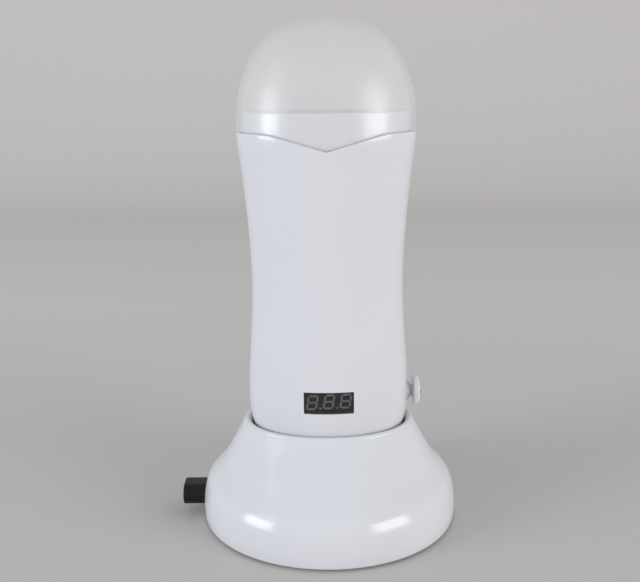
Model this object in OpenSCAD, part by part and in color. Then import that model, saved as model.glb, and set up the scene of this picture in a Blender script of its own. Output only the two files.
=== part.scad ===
// Roll-on wax heater: a waisted hand unit with a heated cartridge well, a clear lift-off lid and a
// temperature knob, standing in the bowl of a flared base that feeds it through two sprung contacts.
// Millimetres, +Z up. The origin is on the table under the middle of the base, and the front is -Y.

/* [Base] */
// Radius of the base at its foot
base_r = 61; // [57:0.5:66]
// Height of the rim round the bowl
rim_z = 50; // [47:0.5:54]
// Wall of the base moulding
base_wall = 2.4; // [1.8:0.1:3]
// Width of the rounded lip on the rim
lip_w = 2.8; // [2.2:0.1:3.4]
// Height of the bowl's floor
floor_z = 21.7; // [19:0.1:23]
// Gap between the hand unit and the bowl
bowl_gap = 1.1; // [0.8:0.1:1.8]
// Thickness of the bottom plate
plate_t = 2.2; // [1.6:0.1:3]
// Width of the rubber ring that the base stands on
foot_w = 4; // [3:0.5:5]
// Height of the rubber ring below the plate
foot_h = 1.5; // [1:0.1:3]

/* [Hand unit] */
// Gap between the heater's clips and the shells at the waist
waist_gap = 2.5; // [2:0.1:4]
// Height of the waist
waist_z = 116; // [106:1:126]
// How far the belly, above the rim, swells past the waist on each side
belly_swell = 2.6; // [1.6:0.1:4]
// Height of the belly
belly_z = 62; // [60:0.5:64]
// How far the mouth, under the lid, flares past the waist on each side
mouth_swell = 5.3; // [4:0.1:7]
// Height of the seam at the sides
seam_z = 186; // [180:1:192]
// Depth of the hand unit as a share of its width
depth_ratio = 0.76; // [0.74:0.01:0.82]
// Wall of the hand unit's shells
shell_wall = 2.4; // [1.8:0.1:2.8]
// Depth of the V in the seam, front and rear
vee_drop = 7.4; // [4:0.2:9]
// Half width of the V
vee_half = 26; // [20:1:30]
// Height at which the bottom cap meets the shells
cap_z = 34; // [32:0.5:38]

/* [Lid] */
// Height of the lid above the seam
dome_h = 51; // [44:1:60]
// Wall of the lid
lid_wall = 2.2; // [1.6:0.1:2.2]
// Gap between the lid's edge and the seam
lid_gap = 0.3; // [0.2:0.05:0.6]

/* [Cartridge well] */
// Width of the well
well_w = 54; // [50:0.5:55]
// Depth of the well, front to rear
well_d = 36; // [32:0.5:37]
// Height of the well's floor
well_floor_z = 80; // [78:0.5:90]
// Wall of the aluminium sleeve
sleeve_wall = 1.2; // [0.8:0.1:1.6]
// Height that the collar stands above the seam
collar_h = 9; // [6:0.5:14]
// Depth of the deck below the collar's top
deck_drop = 8; // [6:0.5:11]

/* [Display] */
// Width of the display window
window_w = 22.5; // [20:0.5:26]
// Height of the display window
window_h = 10; // [8:0.5:12]
// Height of the window's middle
window_z = 65.8; // [64:0.2:68]
// Height of a digit
digit_h = 7; // [5:0.1:8]

/* [Knob] */
// Diameter of the knob
knob_d = 15; // [12:0.5:20]
// Thickness of the knob's disc
knob_t = 3.8; // [3:0.1:6]
// Height of the knob's axis
knob_z = 62; // [60:0.5:64]
// Diameter of the potentiometer's shaft
shaft_d = 4; // [3:0.1:5]
// Gap between the knob's disc and the boss on the shell
knob_gap = 1.6; // [1:0.1:2.5]

/* [Power inlet] */
// Height of the inlet's axis
inlet_z = 10.5; // [10:0.1:11.5]
// How far the inlet stands out of the base
inlet_out = 9.9; // [7:0.1:12]
// Width of the recess
recess_w = 14.3; // [13:0.1:16]
// Height of the recess
recess_h = 8.3; // [8:0.1:9]
// Depth of the recess
recess_depth = 12; // [10:0.1:13]
// Diameter of a pin
inlet_pin_d = 2.4; // [2:0.05:2.6]
// Distance between the pins
inlet_pitch = 8.6; // [8:0.1:9]

/* [Contacts] */
// Distance between the two contacts
contact_pitch = 18; // [14:0.5:20]
// Diameter of a contact pin
contact_d = 3; // [2:0.1:3.4]
// Travel of a contact pin
contact_travel = 1.2; // [0.6:0.1:1.6]

/* [Hidden] */

fit = 0.15;              // clearance between pieces that seat in each other
run = 0.3;               // clearance between pieces that move past each other
over = 0.6;              // how far a rib or post reaches into the wall that carries it
sides = 48;              // facets round a lofted shell
oval_n = 2.1;            // exponent of the hand unit's oval section
round_n = 2;             // exponent of the base's round foot
clip_t = 0.7;            // sheet of the clips that hold the heater plates
clip_gap = 1.5;          // room inside the clips at each end of the sleeve

// Colours of the finishes
white = [0.93, 0.94, 0.96];
clear = [0.86, 0.87, 0.88, 0.4];
black = [0.06, 0.06, 0.06];
smoke = [0.1, 0.1, 0.11];
aluminium = [0.78, 0.79, 0.8];
brass = [0.8, 0.65, 0.35];
steel = [0.62, 0.63, 0.65];
board_green = [0.1, 0.36, 0.2];
segment_grey = [0.5, 0.5, 0.49];
ceramic = [0.85, 0.82, 0.74];
red_wire = [0.6, 0.1, 0.08];

// ---- outline of the hand unit ----
// The cartridge well sets the waist, and the belly and the mouth follow it
heater_t = 3;
clip_room = 1.5;                                         // least gap between clips and shells, front and rear
waist_half = max(well_w / 2 + sleeve_wall + clip_gap + clip_t + waist_gap + shell_wall,
    (well_d / 2 + sleeve_wall + heater_t + clip_t + clip_room + shell_wall) / depth_ratio);
belly_half = waist_half + belly_swell;
mouth_half = waist_half + mouth_swell;
flare_z = seam_z - 14;                                   // where the flare towards the mouth is steepest
flare_slope = 0.115;
flare_half = mouth_half - 1.4;
heel_r = 55;                                             // radius that draws the hand unit in below the belly
seat_z = floor_z + contact_travel;                       // top of the pads in the bowl that the hand unit stands on
hand_bottom_z = seat_z + run;
dome_p = 2.3;                                            // exponent of the dome's side view
dome_top_z = seam_z + dome_h;
hand_stations = [
    [belly_z, belly_half, 0], [waist_z, waist_half, 0],
    [flare_z, flare_half, flare_slope], [seam_z, mouth_half, 0]
];

// Cubic between two stations [height, half width, slope]
function hermite(p, q, z) =
    let (span = q.x - p.x, t = (z - p.x) / span, s = t * t * (3 - 2 * t))
    p.y + (q.y - p.y) * s + span * (p.z * (t - 2 * t * t + t * t * t) + q.z * (t * t * t - t * t));

// Half width of the hand unit and lid at a height
function hand_half(z) =
    z < belly_z ? belly_half - heel_r + sqrt(heel_r * heel_r - (belly_z - z) * (belly_z - z))
    : z < waist_z ? hermite(hand_stations[0], hand_stations[1], z)
    : z < flare_z ? hermite(hand_stations[1], hand_stations[2], z)
    : z < seam_z ? hermite(hand_stations[2], hand_stations[3], z)
    : mouth_half * pow(max(0, 1 - pow((z - seam_z) / dome_h, dome_p)), 1 / dome_p);

// Point of an oval with half axes a and b at a polar parameter
function oval(a, b, n, t) = [
    a * sign(cos(t)) * pow(abs(cos(t)), 2 / n),
    b * sign(sin(t)) * pow(abs(sin(t)), 2 / n)
];

function oval_points(a, b, n) = [for (i = [0:sides - 1]) oval(a, b, n, i * 360 / sides)];

// Point on the hand unit's surface, or inset from it
function hand_point(t, z, inset) =
    let (a = hand_half(z), p = oval(a - inset, a * depth_ratio - inset, oval_n, t)) [p.x, p.y, z];

// Front or rear surface at a place x across, as a distance from the middle
function hand_face(x, z, inset = 0) =
    let (a = hand_half(z) - inset, b = hand_half(z) * depth_ratio - inset)
    b * pow(max(0, 1 - pow(abs(x) / a, oval_n)), 1 / oval_n);

// Height of the seam: level at the sides, with a soft-shouldered V front and rear
function ramp(s) = (s + sqrt(s * s + 0.015)) / 2;
function seam_at(t) =
    seam_z - vee_drop * ramp(1 - abs(oval(mouth_half, mouth_half, oval_n, t).x) / vee_half);

// ---- outline of the base ----
rim_a = hand_half(rim_z) + bowl_gap + lip_w;
rim_b = hand_half(rim_z) * depth_ratio + bowl_gap + lip_w;
lip_r = lip_w / 2;
bottom_z = foot_h - 0.3;                                 // lower edge of the base moulding
round_z = 24;                                            // below this height the base is round
shoulder_in = 10.6;                                      // how far the shoulder's centre lies inside the foot
shoulder_w = 11;
shoulder_z = 5;
shoulder_h = 20;
shoulder_p = 2.6;
flare_foot = [base_r - 7.2, 25.2];                       // where the flare leaves the shoulder
flare_pull = [base_r - 14.2, 36];
flare_top = [rim_a + 0.2, rim_z - lip_r];
bowl_wall = 2;
block_a = 14.5;                                          // half axes of the hole for the contact block
block_b = 6.5;

function bezier(p, q, r, t) = p * (1 - t) * (1 - t) + q * 2 * t * (1 - t) + r * t * t;
function shoulder_point(f) = [
    base_r - shoulder_in + shoulder_w * pow(cos(f), 2 / shoulder_p),
    shoulder_z + shoulder_h * pow(sin(f), 2 / shoulder_p)
];
// Half width of the flare at a height, from its curve
function flare_t(z, lo = 0, hi = 1, n = 24) =
    n == 0 ? (lo + hi) / 2
    : bezier(flare_foot, flare_pull, flare_top, (lo + hi) / 2).y < z
        ? flare_t(z, (lo + hi) / 2, hi, n - 1) : flare_t(z, lo, (lo + hi) / 2, n - 1);
function flare_half_at(z) = bezier(flare_foot, flare_pull, flare_top, flare_t(z)).x;
// Share of the rim's oval shape that is left at a height
function oval_share(z) = let (t = min(1, max(0, (z - round_z) / (rim_z - round_z)))) t * t * (3 - 2 * t);

// The base's section: [half width, height, depth less width, exponent], round one side of the moulding
function skin(a, z) = [a, z, -(rim_a - rim_b) * oval_share(z), round_n + (oval_n - round_n) * oval_share(z)];
function lip(f) = let (a = rim_a - lip_r + lip_r * cos(f)) [a, rim_z - lip_r + lip_r * sin(f), rim_b - rim_a, oval_n];
function bowl(z, out) = let (a = hand_half(z)) [a + out, z, a * (depth_ratio - 1), oval_n];

bowl_heights = [for (z = [rim_z - 6:-5.2:floor_z + 2]) z];
cavity_z = rim_z - 6.4;                                  // top of the hollow between the flare and the bowl
base_section = concat(
    [skin(base_r - 0.8, bottom_z), skin(base_r, bottom_z + 1)],
    [for (f = [4, 24, 40, 54, 66]) let (p = shoulder_point(f)) skin(p.x, p.y)],
    [for (t = [0.06:0.188:1]) let (p = bezier(flare_foot, flare_pull, flare_top, t)) skin(p.x, p.y)],
    [for (f = [0:45:180]) lip(f)],
    [for (z = bowl_heights) bowl(z, bowl_gap)],
    [bowl(floor_z + 1, bowl_gap), let (p = bowl(floor_z, bowl_gap - 1)) [p.x, floor_z, p.z, p[3]]],
    [[block_a, floor_z, block_b - block_a, oval_n], [block_a, floor_z - bowl_wall, block_b - block_a, oval_n]],
    [let (p = bowl(floor_z, bowl_gap)) [p.x, floor_z - bowl_wall, p.z, p[3]]],
    [for (i = [len(bowl_heights) - 1:-1:1]) bowl(bowl_heights[i], bowl_gap + bowl_wall)],
    [bowl(cavity_z, bowl_gap + bowl_wall), skin(flare_half_at(cavity_z) - base_wall, cavity_z)],
    [for (z = [38, 32, 27]) skin(flare_half_at(z) - base_wall, z)],
    [for (f = [58, 40, 20]) let (p = shoulder_point(f)) skin(p.x - base_wall, p.y - 0.5)],
    [skin(base_r - base_wall, bottom_z)]
);
function base_point(t, s) = let (p = oval(s.x, s.x + s.z, s[3], t)) [p.x, p.y, s.y];

// ---- meshes from grids of points ----
// A closed plate between two grids of points. Rows run round the part, columns run up it.
function grid_faces(rows, cols, first, wrap, flip) = [
    for (i = [0:rows - (wrap ? 1 : 2)], j = [0:cols - 2])
    let (k = (i + 1) % rows, a = first + i * cols + j, b = a + 1, d = first + k * cols + j, c = d + 1)
    each flip ? [[a, c, b], [a, d, c]] : [[a, b, c], [a, c, d]]
];
function strip(o0, o1, i0, i1) = [[o0, o1, i1], [o0, i1, i0]];

module plate_mesh(outer, inner, wrap = false) {
    rows = len(outer);
    cols = len(outer[0]);
    half = rows * cols;
    points = [for (grid = [outer, inner], row = grid, p = row) p];
    edges = [
        for (i = [0:rows - (wrap ? 1 : 2)]) let (a = i * cols, b = ((i + 1) % rows) * cols, top = cols - 1)
        each concat(strip(a, b, a + half, b + half), strip(b + top, a + top, b + top + half, a + top + half))
    ];
    last = (rows - 1) * cols;
    ends = wrap ? [] : [
        for (j = [0:cols - 2])
        each concat(strip(j + 1, j, j + 1 + half, j + half),
            strip(last + j, last + j + 1, last + j + half, last + j + 1 + half))
    ];
    polyhedron(points, concat(grid_faces(rows, cols, 0, wrap, false), grid_faces(rows, cols, half, wrap, true), edges, ends));
}

// A closed bowl between two grids whose last columns close on a pole
module bowl_mesh(outer, outer_pole, inner, inner_pole, flip = false) {
    rows = len(outer);
    cols = len(outer[0]);
    half = rows * cols;
    points = concat([for (grid = [outer, inner], row = grid, p = row) p], [outer_pole, inner_pole]);
    pole = 2 * half;
    caps = [
        for (i = [0:rows - 1]) let (a = i * cols + cols - 1, b = ((i + 1) % rows) * cols + cols - 1)
        each [[a, pole, b], [b + half, pole + 1, a + half]]
    ];
    rim = [
        for (i = [0:rows - 1]) let (a = i * cols, b = ((i + 1) % rows) * cols)
        each strip(a, b, a + half, b + half)
    ];
    faces = concat(grid_faces(rows, cols, 0, true, false), grid_faces(rows, cols, half, true, true), caps, rim);
    polyhedron(points, flip ? [for (f = faces) [f[0], f[2], f[1]]] : faces);
}

// A closed section swept round the axis
module ring_mesh(grid) {
    rows = len(grid);
    cols = len(grid[0]);
    polyhedron([for (row = grid, p = row) p], [
        for (i = [0:rows - 1], j = [0:cols - 1])
        let (k = (i + 1) % rows, m = (j + 1) % cols, a = i * cols + j, b = i * cols + m, c = k * cols + m, d = k * cols + j)
        each [[a, b, c], [a, c, d]]
    ]);
}

// A round tube along points, with square ends
function unit(v) = v / norm(v);
function heading(path, i) = unit(path[min(i + 1, len(path) - 1)] - path[max(i - 1, 0)]);
module tube(path, d, n = 8, side = [0, 0, 1]) {
    rings = [
        for (i = [0:len(path) - 1])
        let (t = heading(path, i), u = unit(cross(t, side)), v = cross(u, t))
        [for (k = [0:n - 1]) path[i] + d / 2 * (u * cos(k * 360 / n) + v * sin(k * 360 / n))]
    ];
    last = (len(path) - 1) * n;
    polyhedron([for (r = rings, p = r) p], concat(
        [for (i = [0:len(path) - 2], k = [0:n - 1])
            let (a = i * n + k, b = i * n + (k + 1) % n, c = b + n, e = a + n)
            each [[a, e, c], [a, c, b]]],
        [for (k = [1:n - 2]) [0, k, k + 1]],
        [for (k = [1:n - 2]) [last, last + k + 1, last + k]]
    ));
}

module stadium(w, d) {
    square([w - d, d], center = true);
    for (s = [-1, 1]) translate([s * (w - d) / 2, 0]) circle(d = d, $fn = 64);
}

module at_corners(r, angles) {
    for (a = angles) rotate(a) translate([r, 0, 0]) children();
}

// ---- base ----
screw_angles = [70, 110, 250, 290];
post_d = 8;
post_top_z = 26;
screw_r = flare_half_at(post_top_z) - base_wall + over - post_d / 2;
seat_places = [[-9.5, -10], [9.5, -10], [-9.5, 10], [9.5, 10]];
foot_r = base_r - 5.5;                                   // outer radius of the rubber ring
plate_z = foot_h;                                        // underside of the bottom plate
plate_edge = base_r - base_wall - fit;
pilot_d = 2.4;
screw_head_d = 5.6;
screw_head_h = 2;

inlet_wall = 0.9;
inlet_face_x = -(base_r + 0.4 + inlet_out);              // mouth of the recess
inlet_flange_t = 2;
inlet_flange_w = recess_w + 12;
inlet_flange_x = -(base_r - base_wall - 2.6);            // outer face of the flange, inside the moulding
inlet_back_x = max(inlet_face_x + recess_depth + 1.6, inlet_flange_x + inlet_flange_t);
inlet_screw_y = recess_w / 2 + 3.6;

module along_x(x) {
    translate([x, 0, inlet_z]) rotate([90, 0, 90]) children();
}

module base_shell() {
    color(white) difference() {
        union() {
            ring_mesh([for (i = [0:sides - 1]) [for (s = base_section) base_point(i * 360 / sides, s)]]);
            at_corners(screw_r, screw_angles)
                translate([0, 0, plate_z + plate_t]) cylinder(d = post_d, h = post_top_z - plate_z - plate_t, $fn = 48);
            for (p = seat_places) translate([p.x, p.y, floor_z - 1]) cylinder(d = 5, h = seat_z - floor_z + 1, $fn = 48);
            for (s = [-1, 1]) translate([inlet_flange_x, s * inlet_screw_y, inlet_z]) rotate([0, -90, 0])
                cylinder(d = 6, h = 3, $fn = 48);
        }
        for (s = [-1, 1]) translate([inlet_flange_x + 1, s * inlet_screw_y, inlet_z]) rotate([0, -90, 0])
            cylinder(d = 2.2, h = 4, $fn = 32);
        at_corners(screw_r, screw_angles)
            translate([0, 0, plate_z + plate_t - 1]) cylinder(d = pilot_d, h = 13, $fn = 32);
        along_x(-base_r - 4)
            linear_extrude(8) stadium(recess_w + 2 * inlet_wall + 2 * fit, recess_h + 2 * inlet_wall + 2 * fit);
    }
}

vent_w = 2.4;
vent_l = 16;
module base_plate() {
    color(white) difference() {
        union() {
            translate([0, 0, plate_z]) cylinder(r = plate_edge, h = plate_t, $fn = 128);
            translate([0, 0, plate_z + plate_t]) difference() {
                cylinder(r = plate_edge - 1.4, h = 1.6, $fn = 128);
                translate([0, 0, -1]) cylinder(r = plate_edge - 3, h = 4, $fn = 128);
                translate([-plate_edge, 0, 0]) cube([16, inlet_flange_w + 2, 6], center = true);
            }
        }
        at_corners(screw_r, screw_angles) {
            translate([0, 0, plate_z - 1]) cylinder(d = 3.2, h = plate_t + 2, $fn = 32);
            translate([0, 0, plate_z - 1]) cylinder(d = screw_head_d + 0.4, h = 1 + plate_t / 2, $fn = 48);
        }
        translate([0, 0, plate_z - 1]) foot_band(1.6);
        for (x = [-20:8:20]) translate([x, -vent_l / 2, plate_z - 1])
            cube([vent_w, vent_l, plate_t + 2]);
    }
}

module foot_band(h) {
    difference() {
        cylinder(r = foot_r, h = h, $fn = 128);
        translate([0, 0, -1]) cylinder(r = foot_r - foot_w, h = h + 2, $fn = 128);
    }
}
module foot_ring() {
    color(black) foot_band(foot_h + 0.6);
}

module base_screws() {
    color(steel) at_corners(screw_r, screw_angles) translate([0, 0, plate_z + plate_t / 2]) {
        translate([0, 0, -screw_head_h / 2]) difference() {
            cylinder(d = screw_head_d, h = screw_head_h / 2, $fn = 48);
            for (a = [0, 90]) rotate(a) translate([0, 0, 0.1]) cube([3, 0.7, 1], center = true);
        }
        cylinder(d = pilot_d - 0.02, h = 10, $fn = 32);
    }
}

// The carrier in the bowl's floor, with a bore and a spring chamber for each contact pin
block_top_z = floor_z;
block_bottom_z = 11;
chamber_d = contact_d + 2.4;
collar_pin_d = contact_d + 1.6;
chamber_top_z = block_top_z - 2.4;
pin_stop_t = 1.4;
spring_d = contact_d + 1.6;
spring_wire = 0.5;
terminal_z = block_bottom_z;
pin_top_z = hand_bottom_z - 0.1;
stud_z = hand_bottom_z;                                  // lower face of the studs, flush with the cap
module contact_block() {
    color(black) difference() {
        union() {
            translate([0, 0, block_bottom_z]) linear_extrude(block_top_z - block_bottom_z)
                polygon(oval_points(block_a - fit, block_b - fit, oval_n));
            translate([0, 0, floor_z - bowl_wall - 1.6]) linear_extrude(1.6)
                polygon(oval_points(block_a + 2, block_b + 2, oval_n));
        }
        for (s = [-1, 1]) translate([s * contact_pitch / 2, 0, 0]) {
            translate([0, 0, block_bottom_z - 1]) cylinder(d = chamber_d, h = chamber_top_z - block_bottom_z + 1, $fn = 48);
            translate([0, 0, block_bottom_z]) cylinder(d = contact_d + 0.2, h = 20, $fn = 48);
        }
    }
}

module contact_pin() {
    color(brass) {
        translate([0, 0, chamber_top_z - 0.1 - pin_stop_t]) cylinder(d = collar_pin_d, h = pin_stop_t, $fn = 48);
        translate([0, 0, chamber_top_z - 0.2]) cylinder(d = contact_d, h = pin_top_z - 0.6 - chamber_top_z + 0.2, $fn = 48);
        translate([0, 0, pin_top_z - 0.6]) cylinder(d1 = contact_d, d2 = contact_d - 1.2, h = 0.6, $fn = 48);
    }
}
module contact_pin_left() translate([-contact_pitch / 2, 0, 0]) contact_pin();
module contact_pin_right() translate([contact_pitch / 2, 0, 0]) contact_pin();

// A coil of five turns between the terminal and the pin's collar
spring_turns = 5;
spring_steps = 8;
spring_low_z = terminal_z + 0.6 + 0.05;
spring_high_z = chamber_top_z - 0.1 - pin_stop_t - 0.05;
module contact_spring() {
    rise = spring_high_z - spring_low_z - spring_wire;
    coil_r = (spring_d - spring_wire) / 2;
    color(steel) translate([0, 0, spring_low_z + spring_wire / 2])
        tube([for (i = [0:spring_turns * spring_steps]) let (a = i * 360 / spring_steps)
            [coil_r * cos(a), coil_r * sin(a), rise * i / (spring_turns * spring_steps)]], spring_wire, 6);
}
module contact_spring_left() translate([-contact_pitch / 2, 0, 0]) contact_spring();
module contact_spring_right() translate([contact_pitch / 2, 0, 0]) contact_spring();

lug_w = 4;
lug_len = 9;
lug_t = 0.8;
module contact_terminals() {
    color(brass) for (s = [-1, 1]) translate([s * contact_pitch / 2, 0, 0]) {
        translate([0, 0, terminal_z]) cylinder(d = chamber_d - 0.2, h = 0.6, $fn = 48);
        translate([-lug_w / 2, 3 - lug_len, terminal_z - lug_t]) cube([lug_w, lug_len, lug_t]);
    }
}

module inlet_housing() {
    color(black) difference() {
        union() {
            along_x(inlet_face_x) linear_extrude(inlet_back_x - inlet_face_x)
                stadium(recess_w + 2 * inlet_wall, recess_h + 2 * inlet_wall);
            translate([inlet_flange_x, -inlet_flange_w / 2, inlet_z - recess_h / 2 - inlet_wall])
                cube([inlet_flange_t, inlet_flange_w, recess_h + 2 * inlet_wall]);
        }
        along_x(inlet_face_x - 1) linear_extrude(recess_depth + 1) stadium(recess_w, recess_h);
        for (s = [-1, 1]) translate([inlet_face_x, s * inlet_pitch / 2, inlet_z]) rotate([0, 90, 0])
            cylinder(d = shank_d, h = 40, $fn = 48);
        for (s = [-1, 1]) translate([inlet_flange_x - 5, s * inlet_screw_y, inlet_z]) rotate([0, 90, 0])
            cylinder(d = 2.4, h = 20, $fn = 32);
    }
}

// Each pin has a thicker shank in the housing's back wall and a tail behind it for the lead
inlet_pin_x = inlet_face_x + 2.2;
inlet_tail_x = inlet_back_x + 6;
inlet_seat_x = inlet_face_x + recess_depth;
shank_d = inlet_pin_d + 0.6;
module inlet_pins() {
    color(steel) for (s = [-1, 1]) translate([0, s * inlet_pitch / 2, inlet_z]) {
        translate([inlet_pin_x + 0.6, 0, 0]) rotate([0, 90, 0]) cylinder(d = inlet_pin_d, h = inlet_seat_x - inlet_pin_x - 0.6, $fn = 48);
        translate([inlet_seat_x, 0, 0]) rotate([0, 90, 0]) cylinder(d = shank_d, h = inlet_back_x - inlet_seat_x, $fn = 48);
        translate([inlet_back_x, 0, 0]) rotate([0, 90, 0]) cylinder(d = inlet_pin_d - 0.6, h = inlet_tail_x - inlet_back_x, $fn = 48);
        translate([inlet_pin_x, 0, 0]) rotate([0, 90, 0]) cylinder(d1 = inlet_pin_d - 0.8, d2 = inlet_pin_d, h = 0.6, $fn = 48);
    }
}

// Two self-tapping screws that hold the inlet's flange to the pads of the moulding
module inlet_screws() {
    color(steel) for (s = [-1, 1]) translate([0, s * inlet_screw_y, inlet_z]) {
        translate([inlet_flange_x + inlet_flange_t, 0, 0]) rotate([0, 90, 0]) cylinder(d = 4.4, h = 1.4, $fn = 48);
        translate([inlet_flange_x - 2.8, 0, 0]) rotate([0, 90, 0]) cylinder(d = 2.18, h = inlet_flange_t + 2.8, $fn = 32);
    }
}

// Two insulated leads from the inlet's tails to the contact terminals
lead_d = 1.6;
module base_leads() {
    z = terminal_z - lug_t - lead_d / 2;
    color(black) for (s = [-1, 1]) let (
        a = [inlet_tail_x, s * inlet_pitch / 2, inlet_z],
        far = s * contact_pitch / 2,
        turn = s > 0 ? [[-14, 13, z], [-3, 13.6, z], [4.5, 12, z]] : [[-19, -13, z], [-14, -12, z]]
    ) tube(concat(
        [a, a + [3, 0, 0], [a.x + 6, s * 4.8, z + 0.4], [a.x + 14, s * 8, z], [a.x + 22, s * 11, z]], turn,
        [[far - 0.8, s * 8.4, z], [far, s * 1.5, z]]
    ), lead_d);
}

// ---- hand unit ----
shell_rows = sides / 2;
shell_heights = [for (z = [cap_z:7:seam_z - vee_drop - 8]) z];
shell_low_z = shell_heights[len(shell_heights) - 1];
knob_seat_x = hand_half(knob_z);
boss_d = 10;
boss_h = 1.2;
bushing_d = 7;

// The points up one line of a shell, with the last two following the seam
function shell_line(t, inset) = concat(
    [for (z = shell_heights) hand_point(t, z, inset)],
    [let (z = (shell_low_z + seam_at(t)) / 2) hand_point(t, z, inset), hand_point(t, seam_at(t), inset)]
);

module half_shell(start) {
    plate_mesh(
        [for (i = [0:shell_rows]) shell_line(start + i * 180 / shell_rows, 0)],
        [for (i = [0:shell_rows]) shell_line(start + i * 180 / shell_rows, shell_wall)]
    );
}

// A rib across the shell that carries the foot of the sleeve
shelf_t = 2;
shelf_z = well_floor_z - sleeve_wall - shelf_t;
module shelf(side) {
    reach = hand_half(shelf_z) - shell_wall + over;
    deep = hand_half(shelf_z) * depth_ratio - shell_wall + over;
    translate([0, 0, shelf_z]) linear_extrude(shelf_t) difference() {
        intersection() {
            polygon(oval_points(reach, deep, oval_n));
            translate([-50, side > 0 ? 0 : -50]) square([100, 50]);
        }
        stadium(well_w - 10, well_d - 10);
    }
}

// A tab with a pilot hole for the screw that comes up through the bottom cap
tab_t = 3;
cap_screw_y = 9.5;
module screw_tab(side) {
    reach = hand_face(0, cap_z, shell_wall) + over;
    translate([-5, side > 0 ? cap_screw_y - 4 : -reach, cap_z]) cube([10, reach - cap_screw_y + 4, tab_t]);
}
module screw_tab_hole(side) {
    translate([0, side * cap_screw_y, cap_z - 1]) cylinder(d = pilot_d, h = tab_t + 2, $fn = 32);
}

module knob_boss() {
    translate([knob_seat_x - shell_wall, 0, knob_z]) rotate([0, 90, 0])
        cylinder(d1 = boss_d + 1, d2 = boss_d - 2, h = shell_wall + boss_h, $fn = 48);
}
module knob_hole() {
    translate([knob_seat_x - 10, 0, knob_z]) rotate([0, 90, 0]) cylinder(d = bushing_d + 2 * fit, h = 20, $fn = 48);
}
module half_space(side) {
    translate([-60, side > 0 ? 0 : -60, 0]) cube([120, 60, 300]);
}

module front_shell() {
    color(white) difference() {
        union() {
            half_shell(180);
            shelf(-1);
            screw_tab(-1);
            intersection() {
                knob_boss();
                half_space(-1);
            }
            for (x = [-post_x, post_x], z = [board_z + 3, board_z + board_h - 3])
                translate([x, -board_y, z]) rotate([90, 0, 0]) cylinder(d = 4, h = hand_face(x, z, shell_wall) + over - board_y, $fn = 32);
        }
        screw_tab_hole(-1);
        knob_hole();
        translate([-window_w / 2 - fit, -60, window_z - window_h / 2 - fit]) cube([window_w + 2 * fit, 60 - board_y - 1, window_h + 2 * fit]);
    }
}

module rear_shell() {
    color(white) difference() {
        union() {
            half_shell(0);
            shelf(1);
            screw_tab(1);
            intersection() {
                knob_boss();
                half_space(1);
            }
        }
        screw_tab_hole(1);
        knob_hole();
    }
}

// The bowl-shaped cap that closes the hand unit and carries its contacts
cap_wall = 2.2;
cap_floor_z = hand_bottom_z + cap_wall;
cap_heights = [for (t = [1, 0.72, 0.42, 0.14]) hand_bottom_z + (cap_z - hand_bottom_z) * t];
board_posts = [[-16, -7], [16, -7], [-16, 7], [16, 7]];
power_z = 44;
module bottom_cap() {
    angles = [for (i = [0:sides - 1]) i * 360 / sides];
    outer = [for (t = angles) concat(
        [for (z = cap_heights) hand_point(t, z, 0)],
        [let (p = hand_point(t, hand_bottom_z, 1)) [p.x, p.y, hand_bottom_z]])];
    inner = [for (t = angles) concat(
        [for (z = [cap_z, cap_heights[1], cap_heights[2], cap_floor_z + 0.6]) hand_point(t, z, cap_wall)],
        [let (p = hand_point(t, hand_bottom_z, cap_wall)) [p.x, p.y, cap_floor_z]])];
    color(white) difference() {
        union() {
            bowl_mesh(outer, [0, 0, hand_bottom_z], inner, [0, 0, cap_floor_z], flip = true);
            for (s = [-1, 1]) translate([0, s * cap_screw_y, cap_floor_z - over])
                cylinder(d = 7.6, h = cap_z - cap_floor_z + over, $fn = 48);
            for (p = board_posts) translate([p.x, p.y, cap_floor_z - over]) cylinder(d = 4, h = power_z - cap_floor_z + over, $fn = 32);
            for (s = [-1, 1]) translate([s * contact_pitch / 2, 0, cap_floor_z - over]) cylinder(d = 7, h = 3 + over, $fn = 48);
        }
        for (s = [-1, 1]) translate([0, s * cap_screw_y, hand_bottom_z - 1]) {
            cylinder(d = 3.2, h = 20, $fn = 32);
            cylinder(d = screw_head_d + 0.4, h = 1 + cap_wall + 2, $fn = 48);
        }
        for (s = [-1, 1]) translate([s * contact_pitch / 2, 0, hand_bottom_z - 1])
            cylinder(d = stud_d, h = 12, $fn = 48);
    }
}

module cap_screws() {
    seat = hand_bottom_z + cap_wall + 2;
    color(steel) for (s = [-1, 1]) translate([0, s * cap_screw_y, seat]) {
        translate([0, 0, -screw_head_h]) difference() {
            cylinder(d = screw_head_d, h = screw_head_h, $fn = 48);
            for (a = [0, 90]) rotate(a) cube([3, 0.7, 1.6], center = true);
        }
        cylinder(d = pilot_d - 0.02, h = cap_z + tab_t - seat, $fn = 32);
    }
}

stud_d = contact_d + 0.6;
stud_top_z = cap_floor_z + 3 + 1;
module contact_studs() {
    color(brass) for (s = [-1, 1]) translate([s * contact_pitch / 2, 0, stud_z]) {
        cylinder(d = stud_d, h = stud_top_z - stud_z, $fn = 48);
        translate([0, 0, cap_floor_z + 3 - stud_z]) cylinder(d = 6, h = 0.8, $fn = 48);
    }
}

module stud_leads() {
    color(red_wire) for (s = [-1, 1]) translate([s * contact_pitch / 2, 0, stud_top_z])
        cylinder(d = lead_d, h = power_z - stud_top_z, $fn = 24);
}

board_t = 1.6;
power_w = 44;
power_d = 24;
module power_board() {
    color(board_green) translate([-power_w / 2, -power_d / 2, power_z]) cube([power_w, power_d, board_t]);
}

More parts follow.
